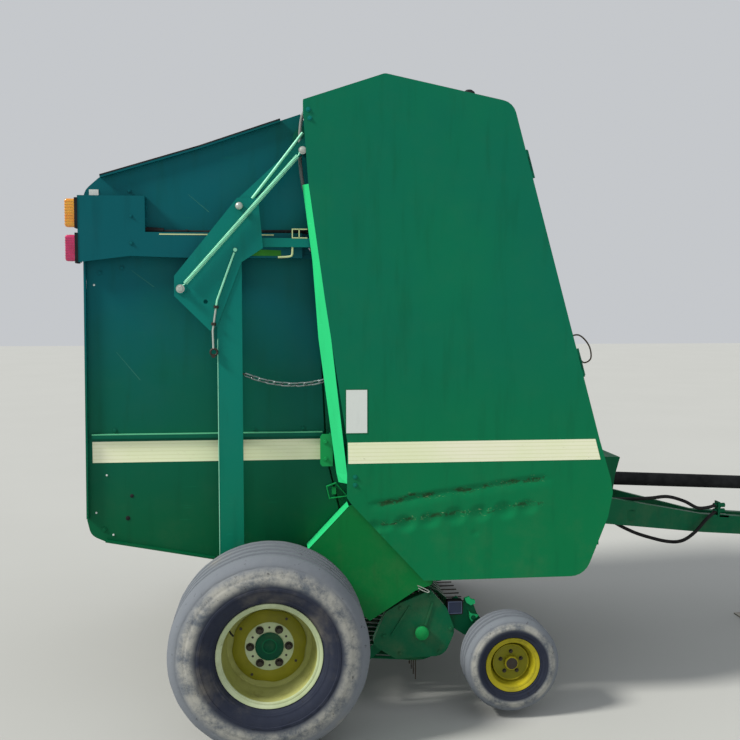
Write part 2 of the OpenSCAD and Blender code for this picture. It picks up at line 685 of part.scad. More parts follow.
// Middle of the jack, beside the tongue's left beam, as [x, y]
jack_at = [2700, 80 + jack_r + 16];
module jack_tube() {
    color("#33383a") centred() {
        difference() {
            union() {
                translate([jack_at[0], jack_at[1], 330]) cylinder(r = jack_r + 8, h = 500);
                block([jack_at[0] - 24, 80 + seat, 530], [jack_at[0] + 24, jack_at[1], 600]);
            }
            translate([jack_at[0], jack_at[1], 320]) cylinder(r = jack_r + fit, h = 480);
        }
        translate([jack_at[0], jack_at[1], 830]) cylinder(r = 12, h = 30);
        block([jack_at[0] - 8, jack_at[1] - 10, 858], [jack_at[0] + 160, jack_at[1] + 10, 868]);
        translate([jack_at[0] + 145, jack_at[1], 866]) cylinder(r = 12, h = 80);
    }
}
module jack_leg() {
    color("#9a9d9b") centred() {
        translate([jack_at[0], jack_at[1], 6]) cylinder(r = jack_r, h = 560);
        block([jack_at[0] - 75, jack_at[1] - 75, 0], [jack_at[0] + 75, jack_at[1] + 75, 8]);
    }
}

pto_slope = atan2(-34.5, 689);
module on_driveline() { translate([1700, 0, 836]) rotate([0, 90 - pto_slope, 0]) children(); }
module gearbox() {
    color("#0a5a33") centred() {
        block([1450, -110, 720], [1660, 110, 950]);
        on_driveline() translate([0, 0, -60]) cylinder(r = 60, h = 60);
    }
}
module driveline_guard() {
    color("#0a5a33") centred() difference() {
        plate([[1660 + seat, 720], [1660 + seat, 975], [1806, 966], [1780, 872], [1760, 720]], -150, 150);
        plate([[1665, 700], [1665, 969], [1820, 960], [1820, 700]], -146, 146);
        on_driveline() translate([0, 0, -100]) cylinder(r = 66, h = 100);
    }
}
shaft_r = 22;
guard_l = tongue_reach - 1850;
module driveline_tube() {
    color("#1d1f20") centred() on_driveline() difference() {
        translate([0, 0, seat]) cylinder(r = pto_tube_r, h = guard_l);
        translate([0, 0, 12]) cylinder(r = shaft_r + 2, h = guard_l - 24);
        translate([0, 0, -1]) cylinder(r = shaft_r + fit, h = guard_l + 10);
    }
}
module driveline_yoke() {
    color("#5a5c5a") centred() on_driveline() difference() {
        union() {
            translate([0, 0, 1]) cylinder(r = shaft_r, h = guard_l + 16);
            translate([0, 0, guard_l + 12]) cylinder(r = 38, h = 76);
        }
        translate([0, 0, guard_l + 28]) cylinder(r = spline_r, h = 80);
    }
}

main_frame();
front_wall(-1);  // front_wall_right
front_wall(1);  // front_wall_left
lower_panel(-1);  // lower_panel_right
lower_panel(1);  // lower_panel_left
post(-1);  // post_right
post(1);  // post_left
brace(-1);  // brace_right
brace(1);  // brace_left
tension_springs();
safety_chains();
front_rollers();
front_belts();
gate_wall(-1);  // gate_wall_right
gate_wall(1);  // gate_wall_left
gate_frame();
gate_beam(-1);  // gate_beam_right
gate_beam(1);  // gate_beam_left
gate_rollers();
gate_belts();
lamp_housings();
amber_lenses();
red_lenses();
gate_cylinder(-1);  // gate_cylinder_right
gate_cylinder(1);  // gate_cylinder_left
gate_rod(-1);  // gate_rod_right
gate_rod(1);  // gate_rod_left
shield(-1);  // shield_right
shield(1);  // shield_left
pickup_frame();
pickup_bands();
pickup_reel();
pickup_cover(-1);  // pickup_cover_right
pickup_cover(1);  // pickup_cover_left
gauge_tyre(-1);  // gauge_tyre_right
gauge_tyre(1);  // gauge_tyre_left
gauge_rim(-1);  // gauge_rim_right
gauge_rim(1);  // gauge_rim_left
tyre(-1);  // tyre_right
tyre(1);  // tyre_left
rim(-1);  // rim_right
rim(1);  // rim_left
tongue();
hitch_clevis();
jack_tube();
jack_leg();
gearbox();
driveline_guard();
driveline_tube();
driveline_yoke();
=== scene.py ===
import math
from contextlib import contextmanager

import bmesh
import bpy
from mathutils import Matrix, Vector, noise


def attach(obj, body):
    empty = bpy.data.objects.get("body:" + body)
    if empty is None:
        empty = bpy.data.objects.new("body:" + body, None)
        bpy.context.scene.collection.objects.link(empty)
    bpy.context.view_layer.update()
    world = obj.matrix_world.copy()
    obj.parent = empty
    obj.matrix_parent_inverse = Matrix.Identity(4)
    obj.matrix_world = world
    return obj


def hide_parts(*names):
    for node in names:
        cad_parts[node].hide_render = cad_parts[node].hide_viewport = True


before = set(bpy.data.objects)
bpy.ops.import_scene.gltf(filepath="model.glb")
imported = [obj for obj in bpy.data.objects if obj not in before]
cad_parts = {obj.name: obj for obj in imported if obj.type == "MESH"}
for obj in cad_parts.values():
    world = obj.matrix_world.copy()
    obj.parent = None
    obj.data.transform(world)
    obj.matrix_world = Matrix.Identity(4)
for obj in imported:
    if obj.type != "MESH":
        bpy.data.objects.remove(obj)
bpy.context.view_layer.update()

# Sizes and places as in part.scad: millimetres, x forward from the axle, y from the middle plane, z up
SIDES = {"right": -1, "left": 1}
AXLE_SHIFT = 1180.5
AXLE_Z = 393.5
HUB_Y = 1115
GAUGE_X, GAUGE_Y, GAUGE_Z = 1019, 955, 233
# Outer faces, as distances from the middle plane
WALL = 787
BEAM_OUT = 837
POST_OUT = 882
PANEL_OUT = 905
SHIELD_OUT = 925
ARM_OUT = 841
HOOK_OUT = 853
BOX_OUT = 872
COVER_OUT = 880
PIN_OUT = 916
# How deep fixings are let into a face, how thick the stripes are, and the wheel disc's offset
SEAT = 0.5
FILM = 0.8
DISC_FACE = 8.2
GATE_REAR = -733
# Pins of the tension springs, as x and z
SPRING_LOW, SPRING_HIGH = (-350, 1812), (148, 2376)
# Main and gauge wheels: tyre, rim's flange and width, grooves in the tread, the disc's place, hole and bore
MAIN = {"d": 787, "w": 343, "flange": 416, "rim_w": 254, "grooves": 4, "disc": 0, "hole": 56, "bore": 32.3}
GAUGE = {"d": 406, "w": 165, "flange": 232, "rim_w": 130, "grooves": 3, "disc": 20, "hole": 29, "bore": 16.3}


def P(x, y, z):
    """Point in the frame's metres, from millimetres forward of the axle."""
    return Vector(((x - AXLE_SHIFT) / 1000, y / 1000, z / 1000))


# Camera, as the photograph was taken: pitched down and turned forward
PITCH, TURN = 3.73, 6.17
cam_data = bpy.data.cameras.new("camera")
cam_data.lens = 46.2
cam_data.sensor_width = 36
cam_data.clip_end = 200
cam = bpy.data.objects.new("camera", cam_data)
bpy.context.collection.objects.link(cam)
cam.location = (-AXLE_SHIFT / 1000, -4.846, 1.7335)
cam.rotation_euler = (math.radians(90 - PITCH), 0, math.radians(-TURN))
bpy.context.scene.camera = cam

# Colours of dust and chips on enamel, and the heights in metres where it fades and where dust thins out
DUST = (128, 126, 96)
CHIPPED = (74, 62, 44)
FADE = (0.7, 1.9)
DUSTY = (0.15, 1.15)


def srgb(r, g, b):
    def lin(c):
        c /= 255
        return c / 12.92 if c <= 0.04045 else ((c + 0.055) / 1.055) ** 2.4
    return (lin(r), lin(g), lin(b), 1)


class Mat:
    """A node material whose patterns follow the object's own coordinates."""

    def __init__(self, name, color, rough=0.5, metal=0.0, coat=0.0, spec=0.5):
        self.mat = bpy.data.materials.new(name)
        self.mat.use_nodes = True
        self.tree = self.mat.node_tree
        self.bsdf = self.tree.nodes["Principled BSDF"]
        self.bsdf.inputs["Metallic"].default_value = metal
        self.bsdf.inputs["Coat Weight"].default_value = coat
        self.bsdf.inputs["Specular IOR Level"].default_value = spec
        self.place = self.node("ShaderNodeTexCoord").outputs["Object"]
        self.color = color
        self.rough = rough
        self.bumps = None

    def node(self, kind, **props):
        n = self.tree.nodes.new(kind)
        for k, v in props.items():
            setattr(n, k, v)
        return n

    def put(self, socket, value):
        if hasattr(value, "links"):
            self.tree.links.new(value, socket)
        else:
            socket.default_value = value

    def noise(self, scale, stretch=(1, 1, 1), detail=4, seed=0.0, rough=0.55):
        m = self.node("ShaderNodeMapping")
        m.inputs["Scale"].default_value = stretch
        m.inputs["Location"].default_value = (seed, seed * 1.7, seed * 0.6)
        self.put(m.inputs["Vector"], self.place)
        n = self.node("ShaderNodeTexNoise")
        self.put(n.inputs["Vector"], m.outputs[0])
        n.inputs["Scale"].default_value = scale
        n.inputs["Detail"].default_value = detail
        n.inputs["Roughness"].default_value = rough
        return n.outputs["Fac"]

    def lines(self, direction, scale):
        """Fine parallel lines, stacked in that direction."""
        w = self.node("ShaderNodeTexWave", wave_type="BANDS", bands_direction=direction)
        self.put(w.inputs["Vector"], self.place)
        w.inputs["Scale"].default_value = scale
        return w.outputs["Fac"]

    def band(self, value, low, high, to_low=0.0, to_high=1.0):
        n = self.node("ShaderNodeMapRange")
        n.interpolation_type = "SMOOTHSTEP"
        self.put(n.inputs["Value"], value)
        for key, v in (("From Min", low), ("From Max", high), ("To Min", to_low), ("To Max", to_high)):
            n.inputs[key].default_value = v
        return n.outputs[0]

    def math(self, op, a, b=0.0):
        n = self.node("ShaderNodeMath", operation=op)
        self.put(n.inputs[0], a)
        self.put(n.inputs[1], b)
        return n.outputs[0]

    def times(self, first, *others):
        for other in others:
            first = self.math("MULTIPLY", first, other)
        return first

    def axis(self, i):
        s = self.node("ShaderNodeSeparateXYZ")
        self.put(s.inputs[0], self.place)
        return s.outputs[i]

    def mix(self, factor, rgb):
        n = self.node("ShaderNodeMix", data_type="RGBA")
        self.put(n.inputs["Factor"], factor)
        self.put(n.inputs[6], self.color)
        self.put(n.inputs[7], srgb(*rgb))
        self.color = n.outputs[2]

    def patches(self, rgb, low, high, amount, scale, stretch=(1, 1, 1), **how):
        """Mixes a colour in where a noise pattern rises from low to high."""
        self.mix(self.band(self.noise(scale, stretch, **how), low, high, 0, amount), rgb)

    def roughen(self, scale, low, high, top=0.7, **how):
        """Lets the roughness wander between low and high."""
        self.rough = self.band(self.noise(scale, **how), 0.3, top, low, high)

    def bump(self, height, strength, distance):
        n = self.node("ShaderNodeBump")
        n.inputs["Strength"].default_value = strength
        n.inputs["Distance"].default_value = distance
        self.put(n.inputs["Height"], height)
        if self.bumps is not None:
            self.put(n.inputs["Normal"], self.bumps)
        self.bumps = n.outputs[0]

    def done(self):
        self.put(self.bsdf.inputs["Base Color"], self.color)
        self.put(self.bsdf.inputs["Roughness"], self.rough)
        if self.bumps is not None:
            self.put(self.bsdf.inputs["Normal"], self.bumps)
        return self.mat


def base_coat(name, rgb, light, dark, seed, high):
    """Enamel that fades in patches, with darker streaks. high is its colour towards the machine's top."""
    m = Mat(name, srgb(*rgb), spec=0.12)
    if high:
        m.mix(m.band(m.axis(2), *FADE), high)
    m.patches(light, 0.35, 0.8, 0.5, 1.3, seed=seed, detail=5)
    m.patches(dark, 0.5, 0.8, 0.28, 5.0, (4, 4, 0.5), seed=seed + 3)
    return m


def add_dust(m, dust, seed):
    """Dust that gathers low down."""
    low = m.band(m.axis(2), *DUSTY, 1, 0.12)
    m.mix(m.times(m.band(m.noise(7, seed=seed + 5, detail=8, rough=0.7), 0.42, 0.75), low, dust), DUST)


def enamel_surface(m, wave, seed):
    m.roughen(4, 0.4, 0.62, 0.8, seed=seed + 7, detail=6)
    m.bump(m.noise(2.2, seed=seed + 2, detail=2), wave, 0.012)
    m.bump(m.noise(150, seed=seed, detail=2), 0.12, 0.0008)
    return m.done()


def paint(name, rgb, light, seed, dust, wear, wave, high=None):
    """Weathered enamel with dust, fine scratches and small chips."""
    m = base_coat(name, rgb, light, [c * 0.72 for c in rgb], seed, high)
    add_dust(m, dust, seed)
    bare = 0.735 - 0.03 * wear
    chips = m.band(m.noise(38, seed=seed + 9, detail=6, rough=0.75), bare, bare + 0.025)
    m.mix(m.times(chips, 0.8), CHIPPED)
    scratch = m.noise(16, (0.35, 1, 6), seed=seed + 12, detail=3, rough=0.4)
    m.mix(m.times(m.band(scratch, 0.72, 0.75), 0.14), [min(255, c * 1.2 + 24) for c in rgb])
    return enamel_surface(m, wave, seed)


def scraped_paint():
    """The shield's enamel with the scrapes that run along its dents, brown above and olive below, and pale
    flecks of painted highlight beside them.
    """
    m = base_coat("shield_enamel_scraped", (2, 119, 70), (3, 126, 78), (2, 84, 50), 1, (2, 110, 84))
    x, z = m.axis(0), m.axis(2)
    # Each scrape: height in metres at the shield's rear edge, slope, half width, colour and strength
    for height, slope, half, ink, strength in ((0.916, 0.132, 0.016, (34, 60, 30), 0.85),
                                               (0.826, 0.108, 0.014, (38, 58, 30), 0.75)):
        line = m.math("ADD", m.times(m.math("SUBTRACT", x, P(450, 0, 0).x), slope), height)
        wander = m.math("SUBTRACT", m.noise(7, (1, 1, 0.2), seed=height * 9, detail=3), 0.5)
        off = m.math("ABSOLUTE", m.math("SUBTRACT", z, m.math("ADD", line, m.times(wander, 0.05))))
        ends = m.times(m.band(x, P(445, 0, 0).x, P(480, 0, 0).x), m.band(x, P(1200, 0, 0).x, P(1160, 0, 0).x))
        broken = m.band(m.noise(13, (1, 1, 2), seed=height * 5, detail=9, rough=0.8), 0.47, 0.54)
        m.mix(m.times(m.band(off, half, half * 0.25), ends, m.times(broken, strength)), ink)
        # Pale flecks beside the scrapes are painted highlights on the dents' edges
        highlight_flecks = m.band(m.noise(60, (1, 1, 2), seed=height * 3, detail=6, rough=0.8), 0.6, 0.66)
        m.mix(m.times(m.band(off, half * 1.6, half * 0.4), ends, m.times(highlight_flecks, 0.8)), (170, 186, 140))
    add_dust(m, 0.12, 1)
    return enamel_surface(m, 0.35, 1)


def rubber(name, rgb, pale, seed, pale_amount, scale):
    m = Mat(name, srgb(*rgb), rough=0.8, spec=0.25)
    m.patches(pale, 0.35, 0.72, pale_amount, scale, seed=seed, detail=8, rough=0.65)
    m.patches((24, 24, 26), 0.6, 0.72, 0.5, scale * 7, seed=seed + 4, detail=6, rough=0.7)
    m.roughen(scale * 3, 0.68, 0.92, seed=seed + 2)
    m.bump(m.noise(90, seed=seed, detail=6), 0.35, 0.0015)
    return m.done()


def metal(name, rgb, rust, seed, rust_amount, rough, metallic, scale):
    m = Mat(name, srgb(*rgb), metal=metallic)
    m.patches(rust, 0.45, 0.72, rust_amount, scale, seed=seed, detail=8, rough=0.7)
    m.roughen(scale * 2, *rough, seed=seed + 3, detail=5)
    m.bump(m.noise(scale * 9, seed=seed, detail=4), 0.2, 0.0006)
    return m.done()


def belting():
    m = Mat("ribbed_belting", srgb(40, 40, 42), rough=0.85, spec=0.2)
    m.patches((62, 61, 58), 0.35, 0.75, 0.5, 1.6, seed=42, detail=4)
    m.patches((96, 92, 82), 0.52, 0.75, 0.3, 18, seed=45, detail=8, rough=0.7)
    m.bump(m.lines("Y", 32), 0.3, 0.001)
    m.roughen(10, 0.7, 0.92, seed=44)
    return m.done()


def wheel_paint(name, rgb, pale, seed, dirt):
    """Faded wheel enamel with dirt baked into the dish, stone chips and rust at the bead. The dish row's
    darker base colour is painted shade.
    """
    m = Mat(name, srgb(*rgb), spec=0.2)
    m.patches(pale, 0.35, 0.7, 1, 3, seed=seed, detail=5)
    m.patches((104, 98, 40), 0.44, 0.74, dirt, 11, seed=seed + 2, detail=9, rough=0.72)
    m.patches((80, 56, 34), 0.66, 0.7, 0.75, 40, seed=seed + 6, detail=6, rough=0.75)
    m.roughen(8, 0.4, 0.7, seed=seed + 3)
    m.bump(m.noise(60, seed=seed, detail=5), 0.15, 0.0008)
    return m.done()


def stripe_film():
    """Faded cream decal with fine printed lines along it, cracked and stained."""
    m = Mat("cream_stripe", srgb(240, 248, 204), rough=0.45)
    m.patches((250, 250, 222), 0.35, 0.7, 1, 2.2, seed=50, detail=4)
    m.mix(m.band(m.lines("Z", 19.6), 0.8, 0.95, 0, 0.32), (208, 214, 152))
    m.patches((150, 150, 104), 0.6, 0.72, 0.45, 30, (1, 1, 3), seed=52, detail=8, rough=0.75)
    m.roughen(12, 0.38, 0.6, seed=53)
    return m.done()


def lens_plastic(name, rgb, deep):
    m = Mat(name, srgb(*rgb), coat=0.5)
    m.bsdf.inputs["Transmission Weight"].default_value = 0.25
    m.bsdf.inputs["Subsurface Weight"].default_value = 0.15
    m.patches(deep, 0.4, 0.7, 0.5, 26, seed=60, detail=5)
    m.roughen(20, 0.14, 0.3, seed=61)
    m.bump(m.noise(120, seed=62, detail=2), 0.15, 0.0008)
    return m.done()


def tyre_rubber(name, centre, inner, outer, seed):
    """Rubber that pales towards the shoulder, measured from the wheel's axle line."""
    m = Mat(name, srgb(42, 47, 62), rough=0.85, spec=0.2)
    x = m.math("SUBTRACT", m.axis(0), centre.x)
    z = m.math("SUBTRACT", m.axis(2), centre.z)
    r = m.math("SQRT", m.math("ADD", m.times(x, x), m.times(z, z)))
    out = m.band(r, inner, outer)
    worn = m.times(m.band(out, 0.35, 0.6), m.band(out, 0.97, 0.8))
    patchy = m.band(m.noise(11, seed=seed, detail=9, rough=0.75), 0.34, 0.62)
    m.mix(m.times(m.band(out, 0.3, 0.6), 0.85), (94, 102, 112))
    m.mix(m.times(worn, m.times(patchy, 0.75)), (184, 182, 172))
    m.mix(m.times(m.band(out, 0.72, 0.98), 0.75), (124, 129, 136))
    m.patches((168, 160, 140), 0.55, 0.8, 0.3, 5, seed=seed + 3, detail=8)
    m.patches((34, 34, 38), 0.62, 0.7, 0.6, 45, seed=seed + 5, detail=5, rough=0.7)
    m.bump(m.noise(40, seed=seed, detail=8), 0.5, 0.003)
    m.roughen(20, 0.72, 0.95, seed=seed + 7)
    return m.done()


def floor_paint():
    m = Mat("pale_floor", srgb(186, 187, 184), rough=0.9, spec=0.1)
    m.patches((180, 181, 178), 0.3, 0.7, 0.3, 0.6, detail=3)
    return m.done()


# Enamels: colour, colour of its patches, seed, dust, wear, waviness, and the cooler colour higher up
ENAMELS = {
    "shield": ((1, 119, 70), (2, 126, 78), 1, 0.08, 0.2, 0.35, (1, 110, 88)),
    # bevel: a lighter copy of the shield's green, painted sunlight on faces turned rearward and outward
    "bevel": ((44, 206, 126), (58, 214, 138), 2, 0.05, 0.2, 0.1),
    "panel": ((3, 118, 56), (5, 128, 62), 4, 0.15, 0.3, 0.2),
    # gate and wall: the shield's green darkened as painted shade of the recessed gate and front walls
    "gate": ((1, 92, 56), (2, 98, 62), 7, 0.1, 0.3, 0.5, (1, 94, 102)),
    "wall": ((1, 92, 56), (2, 98, 62), 94, 0.15, 0.4, 0.4, (1, 94, 76)),
    "frame": ((6, 122, 94), (9, 128, 102), 10, 0.1, 0.5, 0.12, (4, 119, 114)),
    "beam": ((1, 92, 100), (2, 98, 108), 11, 0.06, 0.5, 0.12),
    "bright": ((16, 146, 74), (30, 164, 92), 13, 0.1, 0.6, 0.1),
    "low": ((4, 96, 62), (6, 106, 68), 16, 0.22, 0.8, 0.12),
    "hub": ((2, 74, 50), (6, 104, 66), 18, 0.2, 0.6, 0.1),
    "jack": ((50, 54, 56), (66, 70, 70), 33, 0.6, 1.2, 0.1),
    # Painted highlight for the top face of the gate's ledge
    "pale_edge": ((96, 190, 144), (126, 208, 166), 95, 0.1, 0.4, 0.3),
    "scratch": ((60, 128, 112), (74, 140, 122), 83, 0.1, 0.2, 0.02),
    # underside: painted light, yellow-green light bounced up onto the beam's lower face
    "underside": ((52, 132, 42), (70, 146, 54), 89, 0.2, 0.3, 0.05),
    # tan: the colour of the tie's rod and bracket, also used for the painted highlight on the beam's top edge
    "tan": ((204, 216, 160), (214, 222, 172), 86, 0.2, 0.3, 0.02),
    "label": ((222, 228, 224), (234, 236, 230), 80, 0.3, 0.2, 0.05),
    "plate_edge": ((96, 108, 140), (110, 120, 150), 93, 0.3, 0.3, 0.02),
    "grey_plate": ((52, 60, 82), (64, 72, 92), 88, 0.3, 0.2, 0.02)}
# Enamels of the wheels: colour, colour of its patches, seed and dirt
WHEEL_ENAMELS = {
    "rim": ((158, 150, 28), (186, 172, 34), 70, 0.55),
    "rim_pale": ((176, 190, 150), (202, 212, 178), 72, 0.3),
    "rim_inner": ((150, 154, 84), (176, 178, 112), 74, 0.5),
    # dish: its dark olive is painted shade of the disc set deep in the rim, with dirt patches over it
    "dish": ((118, 118, 22), (142, 138, 34), 76, 0.6)}
# Metals: colour, its rust, seed, amount of rust, range of roughness, how metallic it is, and the rust's scale
METALS = {
    "galvanised": ((150, 148, 138), (96, 74, 52), 21, 0.45, (0.4, 0.65), 0.75, 20),
    "roller": ((168, 168, 162), (110, 92, 70), 24, 0.4, (0.22, 0.5), 0.95, 8),
    "chrome": ((205, 208, 210), (150, 140, 126), 27, 0.15, (0.08, 0.22), 1.0, 6),
    "steel": ((96, 92, 84), (92, 62, 42), 30, 0.65, (0.4, 0.7), 0.8, 18),
    # spring: pale green of the springs and rods, also used for the painted highlights on the post's and
    # brace's edges
    "spring": ((150, 232, 196), (84, 140, 110), 78, 0.25, (0.4, 0.6), 0.1, 30),
    "chain": ((140, 156, 154), (52, 50, 46), 91, 0.7, (0.25, 0.5), 0.8, 60),
    "pale_steel": ((188, 196, 188), (120, 108, 90), 84, 0.3, (0.3, 0.55), 0.5, 40),
    "dark_fix": ((58, 54, 48), (62, 42, 30), 85, 0.5, (0.45, 0.7), 0.5, 40),
    "rust": ((84, 78, 66), (96, 56, 34), 82, 0.6, (0.45, 0.75), 0.6, 40)}
# Rubbers and plastics: colour, colour of its pale patches, seed, their amount and scale
RUBBERS = {
    "black": ((22, 23, 25), (56, 56, 58), 36, 0.35, 9),
    "hose": ((26, 26, 28), (60, 58, 54), 39, 0.4, 14),
    "hose_pale": ((112, 120, 120), (148, 150, 142), 87, 0.6, 6)}

mats = {"shield_dented": scraped_paint(), "belt": belting(), "stripe": stripe_film(),
        "amber": lens_plastic("amber_lens", (255, 176, 48), (250, 132, 20)),
        "red": lens_plastic("red_lens", (222, 44, 112), (180, 14, 70)), "floor": floor_paint()}
for table, make in ((ENAMELS, paint), (WHEEL_ENAMELS, wheel_paint), (METALS, metal), (RUBBERS, rubber)):
    mats.update({key: make(f"{key}_{make.__name__}", *row) for key, row in table.items()})

# Nodes of the frame by material, both sides alike
MAT_NODES = {
    "shield": "shield", "panel": "lower_panel", "wall": "front_wall", "frame": "post brace",
    "gate": "gate_wall gate_frame gate_cylinder", "beam": "gate_beam", "chrome": "gate_rod",
    "low": "main_frame pickup_frame pickup_bands pickup_cover tongue hitch_clevis gearbox driveline_guard",
    "spring": "tension_springs", "galvanised": "safety_chains jack_leg", "belt": "front_belts gate_belts",
    "roller": "front_rollers gate_rollers", "black": "lamp_housings driveline_tube", "rim": "rim gauge_rim",
    "amber": "amber_lenses", "red": "red_lenses", "steel": "pickup_reel driveline_yoke", "jack": "jack_tube"}
NODE_MATS = {node: mat for mat, nodes in MAT_NODES.items() for node in nodes.split()}

for name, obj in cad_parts.items():
    key = name.replace("_right", "").replace("_left", "")
    if key in NODE_MATS:
        for i in range(max(1, len(obj.material_slots))):
            if not obj.material_slots:
                obj.data.materials.append(None)
            obj.material_slots[i].material = mats[NODE_MATS[key]]


def piece(name, bm, body, mat, smooth=None):
    """Makes an object of a bmesh, rides it on a body and finishes it."""
    bmesh.ops.recalc_face_normals(bm, faces=bm.faces)
    mesh = bpy.data.meshes.new(name)
    bm.to_mesh(mesh)
    bm.free()
    obj = bpy.data.objects.new(name, mesh)
    bpy.context.collection.objects.link(obj)
    mesh.materials.append(mats[mat])
    if smooth:
        mesh.shade_smooth()
        mesh.set_sharp_from_angle(angle=math.radians(smooth))
    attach(obj, body)
    return obj


@contextmanager
def making(name, body, mat, smooth=None, slot=None):
    """Gives an empty bmesh to fill, and makes a piece of it afterwards."""
    bm = bmesh.new()
    yield bm
    piece(name, bm, body, mat, smooth)


def prism(bm, points, y0, y1):
    """Flat plate with an outline of [x, z] points between two distances from the middle plane."""
    low = [bm.verts.new(P(x, y0, z)) for x, z in points]
    high = [bm.verts.new(P(x, y1, z)) for x, z in points]
    bm.faces.new(low)
    bm.faces.new(high[::-1])
    for i in range(len(points)):
        j = (i + 1) % len(points)
        bm.faces.new((low[i], high[i], high[j], low[j]))


def rect(x0, z0, x1, z1):
    return [(x0, z0), (x1, z0), (x1, z1), (x0, z1)]


def turned(bm, profile, origin, axis, segments=24, start=0.0):
    """Lathes (radius, height) pairs round an axis through origin. Radii at the ends may be 0."""
    axis = Vector(axis).normalized()
    turn = Vector((0, 0, 1)).rotation_difference(axis).to_matrix()
    origin = Vector(origin)
    rings = []
    for r, h in profile:
        if r <= 1e-9:
            rings.append([bm.verts.new(origin + turn @ Vector((0, 0, h)))])
            continue
        angles = [start + k * math.tau / segments for k in range(segments)]
        rings.append([bm.verts.new(origin + turn @ Vector((r * math.cos(a), r * math.sin(a), h)))
                      for a in angles])
    for a, b in zip(rings, rings[1:]):
        for k in range(segments):
            n = (k + 1) % segments
            quad = [a[k % len(a)], a[n % len(a)], b[n % len(b)], b[k % len(b)]]
            quad = [v for i, v in enumerate(quad) if v not in quad[:i]]
            if len(quad) > 2:
                bm.faces.new(quad)
    return rings


def disc(r, top, foot=0.0):
    """Profile of a plain cylinder for turned()."""
    return [(0, foot), (r, foot), (r, top), (0, top)]


def bolt(bm, x, y, z, normal, r=9, head=7):
    """Hex bolt head on a washer, seated on a face with that normal."""
    at = P(x, y, z)
    r, head, washer, sunk = r / 1000, head / 1000, 0.002, 0.0005
    turned(bm, disc(r * 1.45, washer), at, normal, 20)
    turned(bm, [(0, washer - sunk), (r, washer - sunk), (r, washer + head * 0.82),
                (r * 0.86, washer + head), (0, washer + head)], at, normal, 6, 0.3)


def tube(bm, points, r, sides=10, closed_ends=True):
    """Round tube along a list of Vectors."""
    ring_before, first, frame_x = None, None, None
    for i, p in enumerate(points):
        ahead = (points[min(i + 1, len(points) - 1)] - points[max(i - 1, 0)]).normalized()
        if frame_x is None:
            frame_x = ahead.orthogonal().normalized()
        frame_x = (frame_x - ahead * frame_x.dot(ahead)).normalized()
        frame_y = ahead.cross(frame_x)
        ring = [bm.verts.new(p + r * (math.cos(k * math.tau / sides) * frame_x
                                      + math.sin(k * math.tau / sides) * frame_y)) for k in range(sides)]
        if ring_before:
            for k in range(sides):
                n = (k + 1) % sides
                bm.faces.new((ring_before[k], ring_before[n], ring[n], ring[k]))
        else:
            first = ring
        ring_before = ring
    if closed_ends:
        bm.faces.new(first[::-1])
        bm.faces.new(ring_before)


def smooth_path(points, steps):
    """Catmull-Rom curve through the points."""
    out = []
    pts = [points[0] * 2 - points[1]] + list(points) + [points[-1] * 2 - points[-2]]
    for a, b, c, d in zip(pts, pts[1:], pts[2:], pts[3:]):
        for k in range(steps):
            t = k / steps
            out.append(0.5 * ((2 * b) + (c - a) * t + (2 * a - 5 * b + 4 * c - d) * t * t
                              + (3 * b - a - 3 * c + d) * t ** 3))
    out.append(points[-1])
    return out


def wire(bm, points, y, s, r, sides, steps):
    """Thin bent wire through [x, z] points in a plane at distance y, or [x, y, z] points where y is None."""
    spots = points if y is None else [(px, y, pz) for px, pz in points]
    tube(bm, smooth_path([P(px, s * py, pz) for px, py, pz in spots], steps), r, sides)


def tyre(node, body, centre, size, mat, seed):
    """Turned tyre with grooves between its ribs and a worn, slightly uneven surface."""
    d, w, groove_depth = size["d"], size["w"], 7
    bead = size["flange"] / 2 - 17.2
    lip = size["flange"] / 2 + 1
    mid = (d + size["flange"]) / 4
    half = size["rim_w"] / 2 - 0.3
    # Sidewall from the bead out to the shoulder: its half widths are shares of the tyre's width
    side = [(bead, half), (lip - 4, half), (lip, half + 1), (lip + 4, half + 7)]
    side += [(lip + up, w * out) for up, out in (
        (10, 0.43), (15, 0.437), (17, 0.446), (24, 0.449), (26, 0.455))]
    side += [(mid + w * up, w * out) for up, out in (
        (-0.14, 0.474), (-0.1, 0.48), (-0.095, 0.487), (-0.07, 0.488), (-0.065, 0.484), (-0.02, 0.492),
        (0.04, 0.496))]
    side += [(d / 2 - w * down, w * out) for down, out in (
        (0.21, 0.488), (0.2, 0.481), (0.185, 0.481), (0.175, 0.478), (0.12, 0.46), (0.11, 0.449),
        (0.095, 0.447), (0.085, 0.444), (0.05, 0.415), (0.03, 0.385))]
    crown = [(d / 2 - 3, w * 0.36)]
    steps = size["grooves"] * 2 + 1
    for k in range(steps):
        y0 = w * 0.35 - k * (w * 0.7) / steps
        y1 = w * 0.35 - (k + 1) * (w * 0.7) / steps
        crown_r = d / 2 - 2.2 * (abs(y0 + y1) / w) ** 2 - (groove_depth if k % 2 else 0)
        crown += [(crown_r, y0 - 1.5), (crown_r, y1 + 1.5)]
    crown.append((d / 2 - 3, -w * 0.36))
    profile = side + crown + [(r, -h) for r, h in reversed(side)]
    bm = bmesh.new()
    rings = turned(bm, [(r / 1000, h / 1000) for r, h in profile + [profile[0]]], centre, (0, 1, 0), 160)
    bmesh.ops.remove_doubles(bm, verts=[v for ring in (rings[0], rings[-1]) for v in ring], dist=1e-6)
    for v in bm.verts:
        out = v.co - centre
        r = math.hypot(out.x, out.z)
        if r > lip / 1000 + 0.03:
            rough = noise.noise(v.co * 14 + Vector((seed, 0, 0))) * 0.0016 + noise.noise(v.co * 55) * 0.0007
            scale = 1 + min(0.0, rough - 0.0012) / r
            v.co.x = centre.x + out.x * scale
            v.co.z = centre.z + out.z * scale
    obj = piece(f"{node}_worn", bm, body, mat, 40)
    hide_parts(node)


